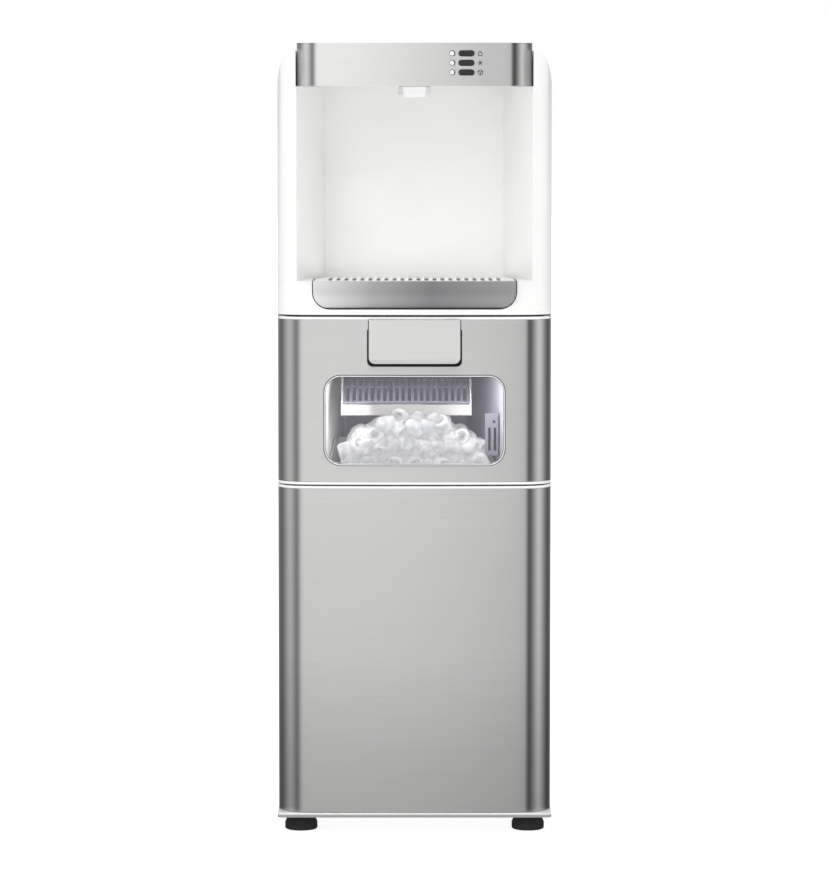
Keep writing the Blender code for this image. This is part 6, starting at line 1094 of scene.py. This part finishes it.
def studio_room(cards, heights, strength):
    """The level is a ramp over the turn atan2(x, -y) times a ramp over the direction's height z."""
    world = bpy.data.worlds.new("studio_room")
    bpy.context.scene.world = world
    world.use_nodes = True
    tree = world.node_tree
    place = add(tree, "ShaderNodeTexCoord").outputs["Object"]
    parts = add(tree, "ShaderNodeSeparateXYZ", links={"Vector": place})
    ahead = add(tree, "ShaderNodeMath", {1: -1.0}, {0: parts.outputs["Y"]}, operation="MULTIPLY")
    turn = add(tree, "ShaderNodeMath", links={0: parts.outputs["X"], 1: ahead.outputs[0]},
               operation="ARCTAN2")
    share = add(tree, "ShaderNodeMapRange", {"From Min": -math.pi, "From Max": math.pi},
                {"Value": turn.outputs[0]})
    rise = add(tree, "ShaderNodeMapRange", {"From Min": -1.0, "From Max": 1.0},
               {"Value": parts.outputs["Z"]})
    around = add(tree, "ShaderNodeValToRGB", links={"Fac": share.outputs[0]},
                 stops=[((turned + 180) / 360, grey(level)) for turned, level in cards])
    upward = add(tree, "ShaderNodeValToRGB", links={"Fac": rise.outputs[0]},
                 stops=[((height + 1) / 2, grey(level)) for height, level in heights])
    both = add(tree, "ShaderNodeMath", links={0: around.outputs["Color"], 1: upward.outputs["Color"]},
               operation="MULTIPLY")
    scaled = add(tree, "ShaderNodeMath", {1: strength}, {0: both.outputs[0]}, operation="MULTIPLY")
    direct = add(tree, "ShaderNodeLightPath").outputs["Is Camera Ray"]
    seen = add(tree, "ShaderNodeMath", links={0: scaled.outputs[0], 1: direct}, operation="MAXIMUM")
    tree.nodes["Background"].inputs["Color"].default_value = grey(1.0)
    tree.links.new(seen.outputs[0], tree.nodes["Background"].inputs["Strength"])


CARDS = [(-180, 0.3), (-150, 0.26), (-117, 0.16), (-95, 0.45), (-76, 0.72), (-62, 0.58), (-43, 0.16),
         (-34, 0.3), (-22, 0.9), (-9, 0.96), (0, 0.94), (9, 0.84), (14, 0.62), (20, 0.16), (27, 0.03),
         (36, 0.1), (50, 0.4), (68, 0.85), (77, 0.86), (95, 0.45), (118, 0.12), (127, 0.12), (145, 0.24),
         (180, 0.3)]
HEIGHTS = [(-1.0, 0.36), (-0.75, 0.42), (-0.55, 0.55), (-0.42, 0.32), (-0.3, 0.08), (-0.2, 0.1),
           (-0.15, 0.28), (-0.08, 0.4), (0.0, 0.42), (0.1, 0.38), (0.3, 0.32), (0.5, 0.42), (1.0, 1.0)]
studio_room(CARDS, HEIGHTS, 2.85)


def floor(half):
    """White paper that glows, so that it stays white to the horizon. The steel doesn't mirror it."""
    corners = [(-half, -half, 0), (half, -half, 0), (half, half, 0), (-half, half, 0)]
    plane = mesh_piece("studio_floor", corners, [(0, 1, 2, 3)])
    made, tree, shader, place = blank("matte_studio_paper")
    fibre = add(tree, "ShaderNodeTexNoise", {"Scale": 1 / (40 * MM), "Detail": 2.0}, {"Vector": place})
    tone = add(tree, "ShaderNodeValToRGB", links={"Fac": fibre.outputs["Fac"]},
               stops=[(0.3, linear("#A0A0A0")), (0.7, linear("#A4A4A4"))])
    tree.links.new(tone.outputs["Color"], shader.inputs["Base Color"])
    set_values(shader, Roughness=0.9, Emission_Color=grey(1.0), Emission_Strength=0.87)
    plane.data.materials.append(made)
    plane.visible_glossy = False


floor(30)

# %% [markdown]
# Soft lamps finish it. One from the front left makes the walls that face it lighter than the ones
# that turn away, and one overhead whitens the floor. Four small ones light the ice and its liner,
# and a card on the drip tray throws light up into the bay. None of them shows in the steel.

# %% Soft lamps


def soft_light(name, place, aim, size, power):
    """A rectangular area light at a place, turned towards a point."""
    data = bpy.data.lights.new(name, "AREA")
    data.shape, data.size, data.size_y, data.energy = "RECTANGLE", size[0], size[1], power
    lamp = bpy.data.objects.new(name, data)
    bpy.context.scene.collection.objects.link(lamp)
    lamp.location = place
    lamp.rotation_euler = Vector(np.subtract(aim, place)).to_track_quat("-Z", "Y").to_euler()
    lamp.visible_glossy = False
    lamp.visible_camera = False
    return lamp


# name, place, point it faces, width and height, all in metres, and power in watts
LAMPS = [
    ("key_softbox", (-1.1, -2.8, 2.6), (0, -0.1, 0.8), (1.6, 1.6), 14),
    ("top_softbox", (0, -0.4, 4.0), (0, -0.2, 0), (6.0, 6.0), 60),
    ("ice_lamp", (0, FRONT + 0.03, 0.555), (0, FRONT + 0.08, 0.5), (0.18, 0.012), 0.012),
    ("left_liner_lamp", (-0.07, FRONT + 0.0285, 0.575), (-0.13, FRONT + 0.05, 0.56), (0.005, 0.05), 0.08),
    ("right_liner_lamp", (0.07, FRONT + 0.0285, 0.585), (0.115, FRONT + 0.07, 0.54), (0.005, 0.04), 0.035),
    ("roof_lamp", (0.02, FRONT + 0.036, 0.606), (0.03, FRONT + 0.09, 0.5), (0.18, 0.02), 0.066),
    ("bay_card", (0, FRONT + 0.07, DECK + 0.004), (0, FRONT + 0.09, 1.0), (0.24, 0.1), 0.06),
]
for lamp in LAMPS:
    soft_light(*lamp)
print(len(LAMPS), "lamps")

# %% [markdown]
# The camera stands 5 m in front at about the height of the nozzle, with a long lens and a slight
# tilt down. A small lens shift does the rest of the framing, as on a view camera.

# %% Camera
camera_data = bpy.data.cameras.new("studio_camera")
camera = bpy.data.objects.new("studio_camera", camera_data)
bpy.context.scene.collection.objects.link(camera)
CAMERA_X, DISTANCE, CAMERA_HEIGHT, TILT = -0.0007, 5.0, 0.9577, 4.12
camera.location = (CAMERA_X, FRONT - DISTANCE, CAMERA_HEIGHT)
camera.rotation_euler = (math.radians(90 - TILT), 0, 0)
camera_data.lens = 155.5
camera_data.sensor_width = 36
camera_data.shift_y = -0.06
bpy.context.scene.camera = camera
bpy.context.scene.view_settings.view_transform = "Standard"
